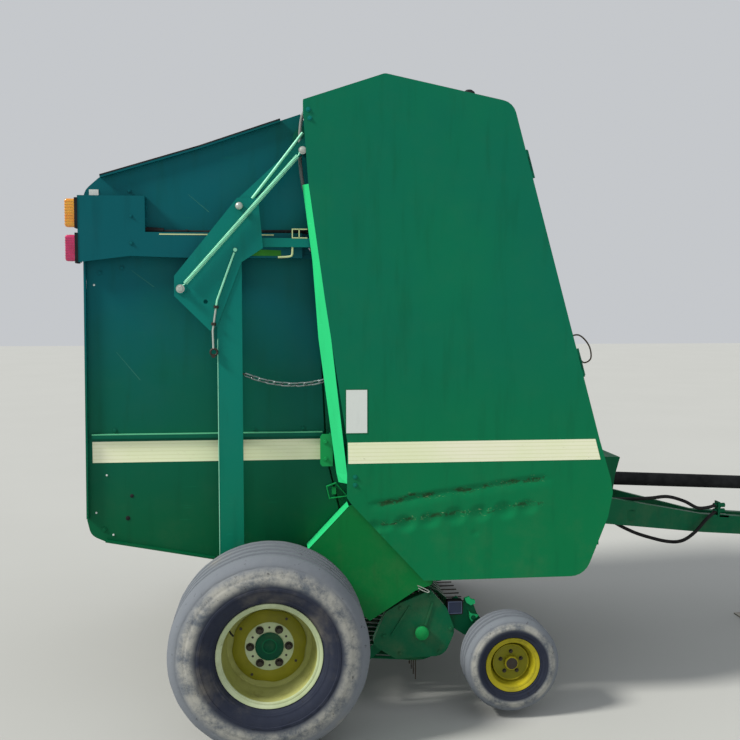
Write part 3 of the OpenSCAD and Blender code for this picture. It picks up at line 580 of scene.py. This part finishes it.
def rim(node, body, centre, s, size):
    """Turned rim with its flanges, drop centre, disc and hub, of the solid's own outline."""
    edge, half, at = size["flange"] / 2, size["rim_w"] / 2, size["disc"]
    hole, bore, bead, gauge = size["hole"], size["bore"], edge - 17.5, size is GAUGE
    profile = [
        (bead - 6, -half - 5), (edge - 2, -half - 5), (edge, -half - 3), (edge, -half), (bead, -half),
        (bead, -half * 0.7), (bead - 14, -half * 0.6), (bead - 14, half * 0.2), (bead, half * 0.5),
        (bead, half), (edge, half), (edge, half + 3), (edge - 1.5, half + 5), (edge - 6, half + 4.2),
        (edge - 11, half + 1),
        (bead - 4, half - 3), (bead - 6, half - 8), (bead - 6, half * 0.55), (bead - 8, half * 0.46),
        (bead - 18, half * 0.26), (bead - 20, half * 0.18), (bead - 21, at + 12), (bead - 24, at + 8.5),
        (bead - 30, at + 8)]
    if gauge:
        profile += [(hole, at + 8), (hole, at + 26), (hole - 3, 50), (0.0, 50), (0.0, 40), (bore, 40)]
    else:
        profile += [(hole, at + 8), (hole, at + 8)]
    profile += [(bore, at + 8), (bore, at - 60), (hole, at - 60), (hole, at - 2), (bead - 20, at - 2),
                (bead - 20, -half * 0.6), (bead - 6, -half * 0.7)]
    bm = bmesh.new()
    turned(bm, [(r / 1000, h / 1000) for r, h in profile + [profile[0]]], centre, (0, s, 0), 96)
    bmesh.ops.remove_doubles(bm, verts=bm.verts[:], dist=1e-6)
    obj = piece(f"{node}_worn", bm, body, "rim", 32)
    for extra in ("rim_pale", "rim_inner", "dish"):
        obj.data.materials.append(mats[extra])
    rim_slot, pale_slot, inner_slot, dish_slot = range(4)
    for face in obj.data.polygons:
        out = face.center - centre
        r = math.hypot(out.x, out.z) * 1000
        h = out.y * s * 1000
        if gauge:
            face.material_index = dish_slot if r < bead - 18 and h < 30 else rim_slot
        elif h > half - 14:
            face.material_index = pale_slot
        elif h > at + 8:
            face.material_index = inner_slot
    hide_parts(node)


def worn_wheels(side, s):
    """Tyres and rims of one side, in place of the plain solids."""
    hub, gauge = P(0, s * HUB_Y, AXLE_Z), P(GAUGE_X, s * GAUGE_Y, GAUGE_Z)
    mats["tyre_" + side] = tyre_rubber("main_tyre_rubber_" + side, hub, 0.2, 0.394, 90 + s)
    mats["gauge_" + side] = tyre_rubber("gauge_tyre_rubber_" + side, gauge, 0.11, 0.203, 96 + s)
    tyre(f"tyre_{side}", f"wheel_{side}", hub, MAIN, "tyre_" + side, 3 + s)
    tyre(f"gauge_tyre_{side}", f"gauge_wheel_{side}", gauge, GAUGE, "gauge_" + side, 9 + s)
    rim(f"rim_{side}", f"wheel_{side}", hub, s, MAIN)
    rim(f"gauge_rim_{side}", f"gauge_wheel_{side}", gauge, s, GAUGE)


def wheel_disc(side, s):
    """Disc with a scalloped edge, set into the rim, with its pale bolt ring; the disc's darker olive is
    painted shade.
    """
    body, face, edge_r, hub_r = f"wheel_{side}", P(0, s * (HUB_Y + DISC_FACE), AXLE_Z), 0.1485, 0.05
    angles = [math.tau * k / 96 for k in range(96)]
    edge = [edge_r - 0.006 * max(0.0, math.cos(4 * a + 0.6)) ** 3 for a in angles]
    # Each ring: how far it lies inside the edge, and its rise
    steps = ((0, 0), (0, 0.004), (0.003, 0.006), (0.03, 0.009), (0.05, 0.0085))
    shapes = [([r - shrink for r in edge], rise) for shrink, rise in steps] + [([hub_r] * 96, 0.0085)]
    with making(f"wheel_disc_{side}", body, "dish", 30, "yellow_paint") as bm:
        rings = [[bm.verts.new(face + Vector((r * math.cos(a), s * rise, r * math.sin(a))))
                  for r, a in zip(radii, angles)] for radii, rise in shapes]
        for low, top in zip(rings, rings[1:]):
            for k in range(96):
                bm.faces.new((low[k], low[(k + 1) % 96], top[(k + 1) % 96], top[k]))
        bm.faces.new(rings[0])
        bm.faces.new(rings[-1][::-1])
    with making(f"bolt_ring_{side}", body, "rim_pale", 30, "yellow_paint") as bm:
        turned(bm, [(0, 0.0082), (0.098, 0.0082), (0.096, 0.0094), (0, 0.0094)], face, (0, s, 0), 48)


def wheel_fittings(side, s):
    """Hub, wheel bolts, dark discs of painted shade standing for the holes between them and in the dish, the
    valve, and the gauge wheel's bolts.
    """
    body, face, out, circle = f"wheel_{side}", P(0, s * (HUB_Y + DISC_FACE), AXLE_Z), (0, s, 0), 76.2
    with making(f"hub_{side}", body, "hub", 35, "green_paint") as bm:
        turned(bm, [(0, 0.009), (0.0565, 0.009), (0.0565, 0.014), (0.051, 0.0165), (0.046, 0.013),
                    (0.026, 0.0115), (0.022, 0.015), (0.014, 0.0175), (0, 0.018)], face, out, 48)
    with making(f"wheel_bolts_{side}", body, "dark_fix", 30) as bm:
        for k in range(6):
            a = math.radians(60 * k)
            bolt(bm, circle * math.cos(a), s * (HUB_Y + 17.4), AXLE_Z + circle * math.sin(a), out, 11.5, 13)
            # Dark discs between the bolts stand for holes: painted shade
            a = math.radians(60 * k + 30)
            at = face + Vector((circle / 1000 * math.cos(a), s * 0.009, circle / 1000 * math.sin(a)))
            turned(bm, disc(0.0048, 0.0008), at, out, 12)
        # Dark discs in the dish stand for holes: painted shade
        for x, z in ((-112, 74), (68, 108), (104, -62), (-70, -112)):
            turned(bm, disc(0.0055, 0.0098, 0.004), face + Vector((x / 1000, 0, z / 1000)), out, 10)
    with making(f"valve_stem_{side}", body, "black") as bm:
        stem = P(-152, s * (HUB_Y + 96), AXLE_Z + 92)
        tube(bm, [stem, stem + Vector((0.004, s * 0.016, -0.002)), stem + Vector((0.014, s * 0.03, -0.008))],
             0.0035, 8)
    with making(f"gauge_bolts_{side}", f"gauge_wheel_{side}", "dark_fix", 30) as bm:
        for k in range(5):
            a = math.radians(72 * k + 18)
            bolt(bm, GAUGE_X + 46 * math.cos(a), s * (GAUGE_Y + 28), GAUGE_Z + 46 * math.sin(a), out, 6, 6)
        turned(bm, [(0, 0), (0.024, 0), (0.024, 0.0015), (0.012, 0.0035), (0, 0.0035)],
               P(GAUGE_X, s * (GAUGE_Y + 50), GAUGE_Z), out, 24)


# Flat pieces: name, body, material, outline, and inner and outer distance from the middle plane
FLAT_PIECES = [
    ("gate_stripe", "gate", "stripe", [(GATE_REAR, 1084), (238, 1084), (236, 1173), (GATE_REAR, 1173)],
     WALL, WALL + FILM),
    ("shield_stripe", "shield", "stripe", [(333, 1084), (1421, 1084), (1397, 1173), (331, 1173)],
     SHIELD_OUT, SHIELD_OUT + FILM),
    ("gate_ledge", "gate", "gate", rect(GATE_REAR, 1186, 232, 1204), WALL - SEAT, 802),
    # Painted highlight: a pale strip on the ledge's top face
    ("gate_ledge_top", "gate", "pale_edge", rect(GATE_REAR, 1202, 232, 1206), WALL - SEAT, 802.5),
    # Painted highlight: a pale strip along the beam's top edge
    ("beam_edge", "gate", "tan", rect(-440, 2035, 30, 2040), BEAM_OUT - SEAT, BEAM_OUT + 1),
    # Painted light: a yellow-green strip of light bounced up onto the beam's lower face
    ("beam_underside", "gate", "underside", [(-121, 1951), (60, 1951), (60, 1974), (-121, 1980)],
     BEAM_OUT - SEAT, BEAM_OUT + FILM),
    # Painted highlight: a pale line down the post's rear edge
    ("post_edge", "root", "spring", [(-205.5, 560), (-202.5, 560), (-202.5, 1610), (-205.5, 1600)],
     POST_OUT - 4, POST_OUT + FILM)]
BLANK_PLATES = [
    ("blank_plate", "shield", "label", rect(324, 1213, 412, 1394), SHIELD_OUT, SHIELD_OUT + 0.9),
    ("arm_plate", "pickup", "grey_plate", rect(773, 416, 827, 463), BOX_OUT, BOX_OUT + 1.2),
    ("arm_plate_rim", "pickup", "plate_edge", rect(770, 413, 830, 466), BOX_OUT - 0.2, BOX_OUT + 0.6)]


def flat_pieces(side, s, table=FLAT_PIECES):
    for name, body, mat, outline, inner, outer in table:
        with making(f"{name}_{side}", f"shield_{side}" if body == "shield" else body, mat) as bm:
            prism(bm, outline, s * inner, s * outer)


# Dents in the right shield: the upper crease as x, z and depth, and the lower knocks with a radius each
CREASE = [(450, 916, 5), (500, 919, 8), (551, 926, 6), (592, 932, 9), (636, 942, 7), (700, 952, 8),
          (765, 960, 6), (851, 971, 9), (915, 979, 6), (981, 990, 8), (1045, 999, 6), (1111, 1005, 7),
          (1177, 1012, 4)]
KNOCKS = [(450, 814, 7, 34), (488, 817, 6, 30), (573, 824, 11, 42), (680, 838, 9, 40), (787, 853, 12, 44),
          (895, 863, 10, 42), (1004, 873, 11, 44), (1104, 884, 8, 38), (365, 1036, 2, 12), (365, 998, 2, 12),
          (874, 777, 3, 18), (467, 771, 3, 16)]
# The shield's outer sheet lies further out than this, in metres
OUTER_SHEET = 0.9215


def dent(x, z):
    """Depth of the dents at a point of the shield, in millimetres."""
    depth = 0.0
    for (x0, z0, d0), (x1, z1, d1) in zip(CREASE, CREASE[1:]):
        if x0 - 60 < x < x1 + 60:
            t = ((x - x0) * (x1 - x0) + (z - z0) * (z1 - z0)) / ((x1 - x0) ** 2 + (z1 - z0) ** 2)
            t = min(1.0, max(0.0, t))
            px, pz = x0 + t * (x1 - x0), z0 + t * (z1 - z0)
            far = math.hypot(x - px, z - pz)
            reach = 14 if z > pz else 46
            depth = max(depth, (d0 + t * (d1 - d0)) * max(0.0, 1 - far / reach) ** 1.5)
    for kx, kz, d, r in KNOCKS:
        far = math.hypot((x - kx) / 1.25, z - kz) / r
        if far < 1:
            depth = max(depth, d * (1 - far * far) ** 1.6)
    uneven = noise.noise(Vector((x / 90, z / 60, 3.0)))
    return depth * (1 + 0.35 * uneven)


def grid(bm, step=9):
    """Cuts the dented part of the shield's outer sheet into small faces."""
    z0, z1, x0, x1 = 0.735, 1.065, P(375, 0, 0).x, P(1245, 0, 0).x
    for axis, low, high in (((1, 0, 0), 392, 1230), ((0, 0, 1), 752, 1046)):
        for at in range(low, high + 1, step):
            near = [f for f in bm.faces if abs(f.calc_center_median().y) > OUTER_SHEET
                    and max(v.co.z for v in f.verts) > z0 and min(v.co.z for v in f.verts) < z1
                    and max(v.co.x for v in f.verts) > x0 and min(v.co.x for v in f.verts) < x1]
            geom = list({v for f in near for v in f.verts}) + list({e for f in near for e in f.edges}) + near
            bmesh.ops.bisect_plane(bm, geom=geom, plane_co=P(at, 0, at), plane_no=axis, dist=1e-6)


def worn_shield(side, s):
    """The shield again, with its rear bevel in a lighter green that is painted sunlight, and the right one
    dented.
    """
    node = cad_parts[f"shield_{side}"]
    bm = bmesh.new()
    bm.from_mesh(node.data)
    bm.transform(node.matrix_world)
    bm.normal_update()
    for f in bm.faces:
        # Faces turned rearward and outward take the bevel's lighter green: painted sunlight
        f.material_index = 1 if f.normal.x < -0.3 and s * f.normal.y > 0.2 else 0
    if side == "right":
        grid(bm)
        bmesh.ops.triangulate(bm, faces=[f for f in bm.faces if len(f.verts) > 4])
        for v in bm.verts:
            if abs(v.co.y) > OUTER_SHEET:
                v.co.y += dent(v.co.x * 1000 + AXLE_SHIFT, v.co.z * 1000) / 1000
    shield = piece(f"shield_{side}_worn", bm, f"shield_{side}", "shield", 35)
    if side == "right":
        shield.data.materials[0] = mats["shield_dented"]
    shield.data.materials.append(mats["bevel"])
    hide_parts(f"shield_{side}")


def shield_fittings(side, s):
    """The shield's bolts, a painted highlight along the edge of the panel below it, and the latch behind its
    rear edge.
    """
    out = (0, s, 0)
    # Painted highlight: a strip in the bevel's lighter green on the panel's upturned edge
    with making(f"panel_edge_{side}", "root", "bevel") as bm:
        prism(bm, [(x - 0.725 * away, z + 0.689 * away) for x, z, away in (
            (165, 716, 0.6), (338, 898, 0.6), (338, 898, 1.8), (165, 716, 1.8))], s * 793, s * PANEL_OUT)
    with making(f"shield_bolts_{side}", f"shield_{side}", "frame", 30) as bm:
        for x, z in ((171, 2539), (177, 2504), (361, 1028), (361, 994)):
            bolt(bm, x, s * SHIELD_OUT, z, out, 7, 4)
    with making(f"latch_{side}", "root", "bright", 30) as bm:
        latch = 863
        prism(bm, [(219, 1075), (228, 1065), (272, 1065), (272, 1202), (228, 1202), (219, 1190)],
              s * (latch - 6), s * latch)
        prism(bm, rect(262, 1068, 270, 1199), s * (WALL - 1), s * (latch - 4))
        loop = [P(x, s * 803, z) for x, z in ((250, 968), (290, 982), (338, 924), (262, 916))]
        tube(bm, loop + loop[:2], 0.004, 8, False)
        prism(bm, rect(272, 932, 290, 962), s * (WALL - 1), s * 801)
        bolt(bm, 240, s * latch, 1170, out, 8, 5)
        bolt(bm, 240, s * latch, 1098, out, 8, 5)


def gate_fittings(side, s):
    """A dark strip of painted shadow along the gate's top, bolts and scratches."""
    # Painted shadow: a dark strip in hose rubber where the gate's top flange lies in shade
    with making(f"gate_top_rubber_{side}", "gate", "hose") as bm:
        for (x0, z0), (x1, z1) in (((-680, 2277), (-272, 2402)), ((-272, 2402), (60, 2518))):
            prism(bm, [(x0, z0), (x1, z1), (x1 - 2, z1 + 5), (x0 - 2, z0 + 5)], s * (WALL - 3), s * 810)
    with making(f"gate_bolts_{side}", "gate", "gate", 30) as bm:
        for x, z, r in ((-565, 2217, 6), (-690, 800, 8), (-600, 1900, 7), (-690, 1880, 7), (-640, 1220, 7),
                        (-60, 1220, 7), (150, 1220, 7), (80, 700, 8)):
            bolt(bm, x, s * WALL, z, (0, s, 0), r, 4)
        for z, r in ((2000, 6), (2110, 5)):
            bolt(bm, -553, s * BEAM_OUT, z, (0, s, 0), r, 4)
    with making(f"gate_scratches_{side}", "gate", "scratch") as bm:
        for x0, z0, x1, z1 in ((-324, 2207, -238, 2134), (-628, 1550, -532, 1432), (-560, 1890, -470, 1822)):
            w = Vector((z1 - z0, x0 - x1)).normalized() * 0.9
            prism(bm, [(x0, z0), (x1 - w.x, z1 - w.y), (x1 + w.x, z1 + w.y), (x0 + w.x, z0 + w.y)],
                  s * 786.8, s * 787.3)


def post_fittings(side, s):
    """Adjusting rod, nuts and eye bolt on the post's plate, the pins' bolts, and a painted highlight along
    the brace's upper edge.
    """
    out, y = (0, s, 0), s * 891.2
    with making(f"adjusting_rod_{side}", "root", "spring", 40) as bm:
        tube(bm, [P(-133, y, 1961), P(-204, y, 1766), P(-210, y, 1728)], 0.0042, 10)
        turned(bm, disc(0.008, 0.006), P(-129, y - s * 2, 1972), out, 12)
    with making(f"eye_bolt_{side}", "root", "pale_steel", 40) as bm:
        tube(bm, [P(-210, y, 1728), P(-223, y, 1640), P(-221, y, 1566)], 0.004, 10)
    with making(f"eye_bolt_nuts_{side}", "root", "dark_fix", 40) as bm:
        for x, z in ((-208, 1738), (-219, 1668)):
            turned(bm, disc(0.010, 0.006, -0.006), P(x, y, z), (-0.15, 0, -0.98), 6)
        angles = [k * math.tau / 20 for k in range(21)]
        eye = [P(-219 + 14 * math.cos(a), y, 1552 + 14 * math.sin(a)) for a in angles]
        tube(bm, eye, 0.0045, 8, False)
        turned(bm, disc(0.0085, 0.012, -0.012), P(-221, s * 890, 1537), out, 6)
    with making(f"plate_bolts_{side}", "root", "pale_steel", 35) as bm:
        bolt(bm, SPRING_LOW[0], s * PIN_OUT, SPRING_LOW[1], out, 12, 8)
        turned(bm, [(0.0145, -0.002), (0.0155, 0.003), (0.012, 0.010), (0.006, 0.0135), (0, 0.0145)],
               P(-111, s * 900, 2150), out, 20)
        bolt(bm, SPRING_HIGH[0], s * PIN_OUT, SPRING_HIGH[1], out, 11, 5)
    # A pale ridge along the brace's upper edge: a painted highlight
    with making(f"brace_edge_highlight_{side}", "root", "spring", 50) as bm:
        tube(bm, [P(-58, s * 883, 2182), P(150, s * 883, 2452)], 0.006, 8)


def tie_fittings(side, s):
    """Bent rod and small bracket on the tie under the brace, and the rubber cap on the roof."""
    with making(f"tie_fittings_{side}", "root", "tan", 40) as bm:
        wire(bm, ((46, 1944), (92, 1947), (104, 1954), (106, 1970), (106, 1990)), 866, s, 0.0042, 8, 4)
        prism(bm, [(104, 2022), (168, 2022), (168, 2026), (108, 2026), (108, 2058), (168, 2058), (168, 2062),
                   (104, 2062)], s * 850, s * 873)
        prism(bm, rect(132, 2024, 136, 2060), s * 850, s * 873)
    with making(f"top_cap_{side}", "root", "black", 40) as bm:
        turned(bm, [(0, 0), (0.012, 0), (0.012, 0.052), (0.026, 0.053), (0.027, 0.064), (0.023, 0.075),
                    (0.012, 0.083), (0, 0.085)], P(851, s * 850, 2566), (0, 0, 1), 20)
        turned(bm, [(0.010, -0.066), (0.010, 0.002), (0.0, 0.002)], P(851, s * 850, 2570), (0, s, 0), 10)


def pickup_fittings(side, s):
    """The pickup cover's boss, ribs and bolts, and the blank box and the lift hook on the arm."""
    out = (0, s, 0)
    with making(f"cover_boss_{side}", "pickup", "bright", 35) as bm:
        turned(bm, [(0.028, -0.004), (0.030, 0.0), (0.028, 0.008), (0.018, 0.014), (0, 0.016)],
               P(652, s * 896, 340), out, 28)
    with making(f"cover_fittings_{side}", "pickup", "low", 30) as bm:
        for x, z in ((488, 330), (560, 448), (690, 500), (778, 350), (560, 250), (730, 250)):
            bolt(bm, x, s * COVER_OUT, z, out, 7, 5)
        for x0, z0, x1, z1 in ((520, 330, 600, 455), (668, 368, 700, 470)):
            w = Vector((z1 - z0, x0 - x1)).normalized() * 4
            rib = [(x0 - w.x, z0 - w.y), (x1 - w.x, z1 - w.y), (x1 + w.x, z1 + w.y), (x0 + w.x, z0 + w.y)]
            prism(bm, rib, s * (COVER_OUT - SEAT), s * (COVER_OUT + 5))
    with making(f"arm_box_{side}", "pickup", "black", 30) as bm:
        prism(bm, [(765, 413), (770, 408), (830, 408), (835, 413), (835, 466), (830, 471), (770, 471),
                   (765, 466)], s * (ARM_OUT - SEAT), s * BOX_OUT)
    # The hook takes the bevel's lighter green, which is painted sunlight
    with making(f"lift_hook_{side}", "pickup", "bevel", 30) as bm:
        for half in (((846, 473), (867, 480), (873, 468), (891, 465), (894, 448), (873, 441), (855, 453)),
                     ((865, 418), (873, 405), (910, 395), (878, 368), (869, 383))):
            prism(bm, half, s * (ARM_OUT - SEAT), s * HOOK_OUT)
    with making(f"hook_plate_{side}", "pickup", "low", 30) as bm:
        prism(bm, [(846, 470), (878, 468), (905, 396), (880, 370), (840, 400)], s * 834, s * (ARM_OUT - 0.2))
        bolt(bm, 885, s * HOOK_OUT, 386, out, 7, 4)


for side, s in SIDES.items():
    for build in (worn_wheels, wheel_disc, wheel_fittings, flat_pieces, worn_shield, shield_fittings,
                  gate_fittings, post_fittings, tie_fittings, pickup_fittings):
        build(side, s)


def plates_and_plugs(side, s):
    """Blank plates, and the tag, studs and plugs on the gate."""
    flat_pieces(side, s, BLANK_PLATES)
    with making(f"plate_rim_{side}", f"shield_{side}", "low") as bm:
        for edges in ((321, 1210, 415, 1213), (321, 1394, 415, 1397), (321, 1213, 324, 1394),
                      (412, 1213, 415, 1394)):
            prism(bm, rect(*edges), s * SHIELD_OUT, s * (SHIELD_OUT + 1.1))
    with making(f"gate_tag_{side}", "gate", "label") as bm:
        prism(bm, rect(-727, 2195, -689, 2222), s * (WALL - SEAT), s * (WALL + 2))
        for x, z in ((-714, 1829), (-676, 1031), (-653, 776), (-722, 872)):
            turned(bm, [(0, 0), (0.0045, 0), (0.004, 0.003), (0, 0.004)], P(x, s * WALL, z), (0, s, 0), 12)
    with making(f"gate_plugs_{side}", "gate", "black", 40) as bm:
        for x, z, r in ((-574, 941, 0.008), (-592, 846, 0.0095)):
            turned(bm, [(0, 0), (r, 0), (r, 0.001), (r * 0.6, 0.0025), (0, 0.0025)], P(x, s * WALL, z),
                   (0, s, 0), 16)


def wires(side, s):
    """The wiring's wrap and clips, the wire loop and the hairpin clip."""
    with making(f"gate_wiring_wrap_{side}", "gate", "black", 50) as bm:
        wire(bm, ((-545, 812, 2054), (-480, 813, 2056), (-424, 812, 2053)), None, s, 0.0115, 8, 5)
        for x in (-500, -440, -330, -210, -60, 80):
            turned(bm, [(0.007, -0.005), (0.0095, -0.005), (0.0095, 0.005), (0.007, 0.005), (0.007, -0.005)],
                   P(x, s * 812, 2050), (1, 0, 0), 12)
    with making(f"wire_loop_{side}", "root", "rust", 50) as bm:
        wire(bm, ((1284, 1606), (1339, 1617), (1384, 1573), (1394, 1517), (1362, 1498), (1331, 1532),
                  (1298, 1560)), 860, s, 0.0035, 8, 6)
    with making(f"hairpin_{side}", "root", "pale_steel", 50) as bm:
        wire(bm, ((630, 906.5, 552), (652, 908, 542), (674, 909, 531), (680, 909, 525), (672, 909, 522),
                  (650, 908, 531), (633, 907, 541)), None, s, 0.0021, 6, 5)


# These show on the right side only
plates_and_plugs("right", SIDES["right"])
wires("right", SIDES["right"])


def spring_coils():
    """Tension springs of both sides: closed coils with a hook at each end."""
    spring_y, pitch, coil_r, hook_r, lead = 904, 6.2, 7.4, 12.6, 30
    bm = bmesh.new()
    for s in SIDES.values():
        low, high = Vector(SPRING_LOW), Vector(SPRING_HIGH)
        along = (high - low).normalized()
        across = Vector((-along.y, along.x))
        start, end = low + along * lead, high - along * lead
        turns = int((end - start).length / pitch)
        points = []
        for k in range(turns * 12 + 1):
            t = k / (turns * 12)
            a = math.tau * turns * t
            q = start.lerp(end, t) + across * coil_r * math.cos(a)
            points.append(P(q.x, s * (spring_y + coil_r * math.sin(a)), q.y))
        tube(bm, points, 0.0026, 6)
        for pin, first, sign in ((low, start, 1), (high, end, -1)):
            hook = [first + along * 4 * sign, first, first - along * 8 * sign]
            for k in range(9):
                a = math.radians(25 + k * 35)
                hook.append(pin + hook_r * (along * sign * math.cos(a) + across * math.sin(a)))
            tube(bm, [P(q.x, s * spring_y, q.y) for q in hook], 0.0028, 6)
    springs = piece("spring_coils", bm, "root", "spring", 60)
    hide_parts("tension_springs")


def chain_links():
    """Safety chains of both sides: round links along a shallow curve, each turned a quarter from the last."""
    chain_y, count, link, wire_d, bend = 868, 11, 33, 7, 8.5
    rear, span, sag, fall = -103, 371, 36, 25
    half = (link / 2 + wire_d / 2 - bend) / 1000
    bm = bmesh.new()
    for s in SIDES.values():
        p = Vector((-78, 1452))
        chain = [p]
        for k in range(count):
            slope = (sag * (8 * (p.x + link / 2 - rear) / span - 4) - fall) / span
            p = p + Vector((1, slope)).normalized() * (link - 1.2) * 0.995
            chain.append(p)
        for k in range(count):
            way = (chain[k + 1] - chain[k]).normalized()
            along = Vector((way.x, 0, way.y))
            across = Vector((0, 1, 0)).cross(along).normalized()
            flat = (across + (s if k % 2 else -s) * Vector((0, 1, 0))).normalized()
            middle = P(chain[k].x, s * chain_y, chain[k].y)
            loop = []
            for j in range(20):
                a = math.tau * j / 20 + math.pi / 20
                x = math.cos(a) * bend / 1000 + (half if math.cos(a) > 0 else -half)
                loop.append(middle + along * x + flat * (math.sin(a) * bend / 1000))
            tube(bm, loop + loop[:2], wire_d / 2000, 8, False)
    chains = piece("chain_links", bm, "root", "chain", 60)
    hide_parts("safety_chains")
    with making("chain_pins", "root", "rust", 40) as bm:
        for s in SIDES.values():
            turned(bm, disc(0.0045, 0.02), P(-104, s * chain_y, 1460), (1, 0, 0), 10)
            turned(bm, disc(0.0045, 0.02), P(264, s * chain_y, 1437), (-1, 0, 0), 10)


def lenses(kind, z, height):
    """Lamp lenses of both sides, with rounded corners and ribs."""
    bm = bmesh.new()
    for s in SIDES.values():
        part = bmesh.new()
        bmesh.ops.create_cube(part, size=1)
        for v in part.verts:
            v.co = P(-799 + 40 * v.co.x, s * 814 + 42 * v.co.y, z + height * v.co.z)
        bmesh.ops.bevel(part, geom=[e for e in part.edges if any(v.co.x < P(-800, 0, 0).x for v in e.verts)],
                        offset=0.009, segments=4, profile=0.5, affect="EDGES")
        mesh = bpy.data.meshes.new("part")
        part.to_mesh(mesh)
        part.free()
        bm.from_mesh(mesh)
        bpy.data.meshes.remove(mesh)
        rows = 9
        for k in range(rows):
            rib = z + (k - (rows - 1) / 2) * (height - 26) / (rows - 1)
            prism(bm, rect(-819, rib - 1.2, -786, rib + 1.2), s * 798, s * 835.6)
    lens = piece(f"{kind}_lenses_ribbed", bm, "gate", kind, 40)
    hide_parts(f"{kind}_lenses")


spring_coils()
chain_links()
lenses("amber", 2122, 116)
lenses("red", 1979, 108)


def hose(name, body, points, r, mat="hose"):
    """Hose or wiring along the given points, with both ends in the machine."""
    path = smooth_path([P(*p) for p in points], 10)
    bm = bmesh.new()
    tube(bm, path, r / 1000, 12)
    obj = piece(name, bm, body, mat, 50)


# Hydraulic hoses on the tongue, parked in a bracket
hose("tongue_hose_lower", "root", [
    (1450, -190, 745), (1560, -188, 735), (1680, -180, 690), (1770, -165, 632), (1850, -148, 588),
    (1941, -122, 548), (2079, -112, 509), (2161, -122, 512), (2230, -125, 556), (2300, -108, 620),
    (2378, -60, 654)], 9)
hose("tongue_hose_upper", "root", [
    (1450, -230, 765), (1600, -225, 770), (1800, -175, 752), (1965, -150, 748), (2073, -130, 750),
    (2170, -118, 722), (2245, -112, 684), (2310, -90, 678), (2378, -60, 684)], 9)
with making("hose_bracket", "root", "low", 35) as bm:
    prism(bm, rect(2378, 625, 2386, 705), -82, -38)
    prism(bm, [(2378, 625), (2440, 620), (2440, 632), (2378, 640)], -80, -40)
    for z in (654, 684):
        turned(bm, [(0, -0.03), (0.0125, -0.03), (0.0125, -0.004), (0.016, -0.002), (0.016, 0.006),
                    (0.012, 0.008), (0.012, 0.03), (0, 0.03)], P(2392, -60, z), (1, 0, 0), 14)

# Wiring along the gate's beam, into a grommet in the gate's wall
hose("gate_wiring", "gate", [
    (-545, -812, 2049), (-400, -814, 2050), (-250, -809, 2049), (-90, -815, 2052), (20, -812, 2053),
    (80, -809, 2054), (130, -799, 2055), (164, -786, 2056), (171, -783, 2056)], 7.5, "black")
with making("wiring_grommet", "gate", "black", 40) as bm:
    turned(bm, [(0, 0), (0.016, 0), (0.016, 0.003), (0.012, 0.006), (0, 0.006)], P(166, -WALL, 2056),
           (0, -1, 0), 20)

# Hoses in an arc round the gate's hinge, clear of its open corner, with their ends in ports behind the shield
for k, y in enumerate((-824, -839)):
    hose(f"hinge_hose_{k}", "root", [
        (450 + 24 * k, -784, 2430), (430 + 20 * k, -794, 2490), (380 + 14 * k, y + 14, 2545),
        (310 + 8 * k, y + 4, 2578), (238, y, 2590), (184, y, 2574), (152, y, 2532), (142, y, 2470),
        (141, y, 2410), (141, y, 2354), (146, y, 2291), (158, y, 2225), (186, y + 4, 2165),
        (230 + 8 * k, -793, 2115), (268 + 24 * k, -784, 2085)], 7, "hose_pale")
with making("hose_ports", "root", "black", 40) as bm:
    for x, z in ((450, 2430), (474, 2430), (268, 2085), (292, 2085)):
        turned(bm, [(0, 0), (0.0115, 0), (0.0115, 0.003), (0.010, 0.007), (0, 0.007)], P(x, -WALL, z),
               (0, -1, 0), 20)

# Floor and lights
floor_mesh = bpy.data.meshes.new("floor")
floor_mesh.from_pydata([(-40, -40, 0), (40, -40, 0), (40, 40, 0), (-40, 40, 0)], [], [(0, 1, 2, 3)])
floor_mesh.materials.append(mats["floor"])
floor = bpy.data.objects.new("floor", floor_mesh)
bpy.context.collection.objects.link(floor)

world = bpy.data.worlds.new("studio")
bpy.context.scene.world = world
world.use_nodes = True
background = world.node_tree.nodes["Background"]
background.inputs["Color"].default_value = (0.93, 0.96, 1.0, 1)
background.inputs["Strength"].default_value = 0.6
sun = bpy.data.lights.new("key", "SUN")
sun.energy = 3.4
sun.angle = math.radians(12)
sun.color = (1.0, 0.97, 0.9)
sun_obj = bpy.data.objects.new("key", sun)
bpy.context.collection.objects.link(sun_obj)
sun_obj.rotation_euler = Vector((0.72, 0.2, -0.66)).to_track_quat("-Z", "Y").to_euler()
bpy.context.scene.view_settings.view_transform = "Standard"
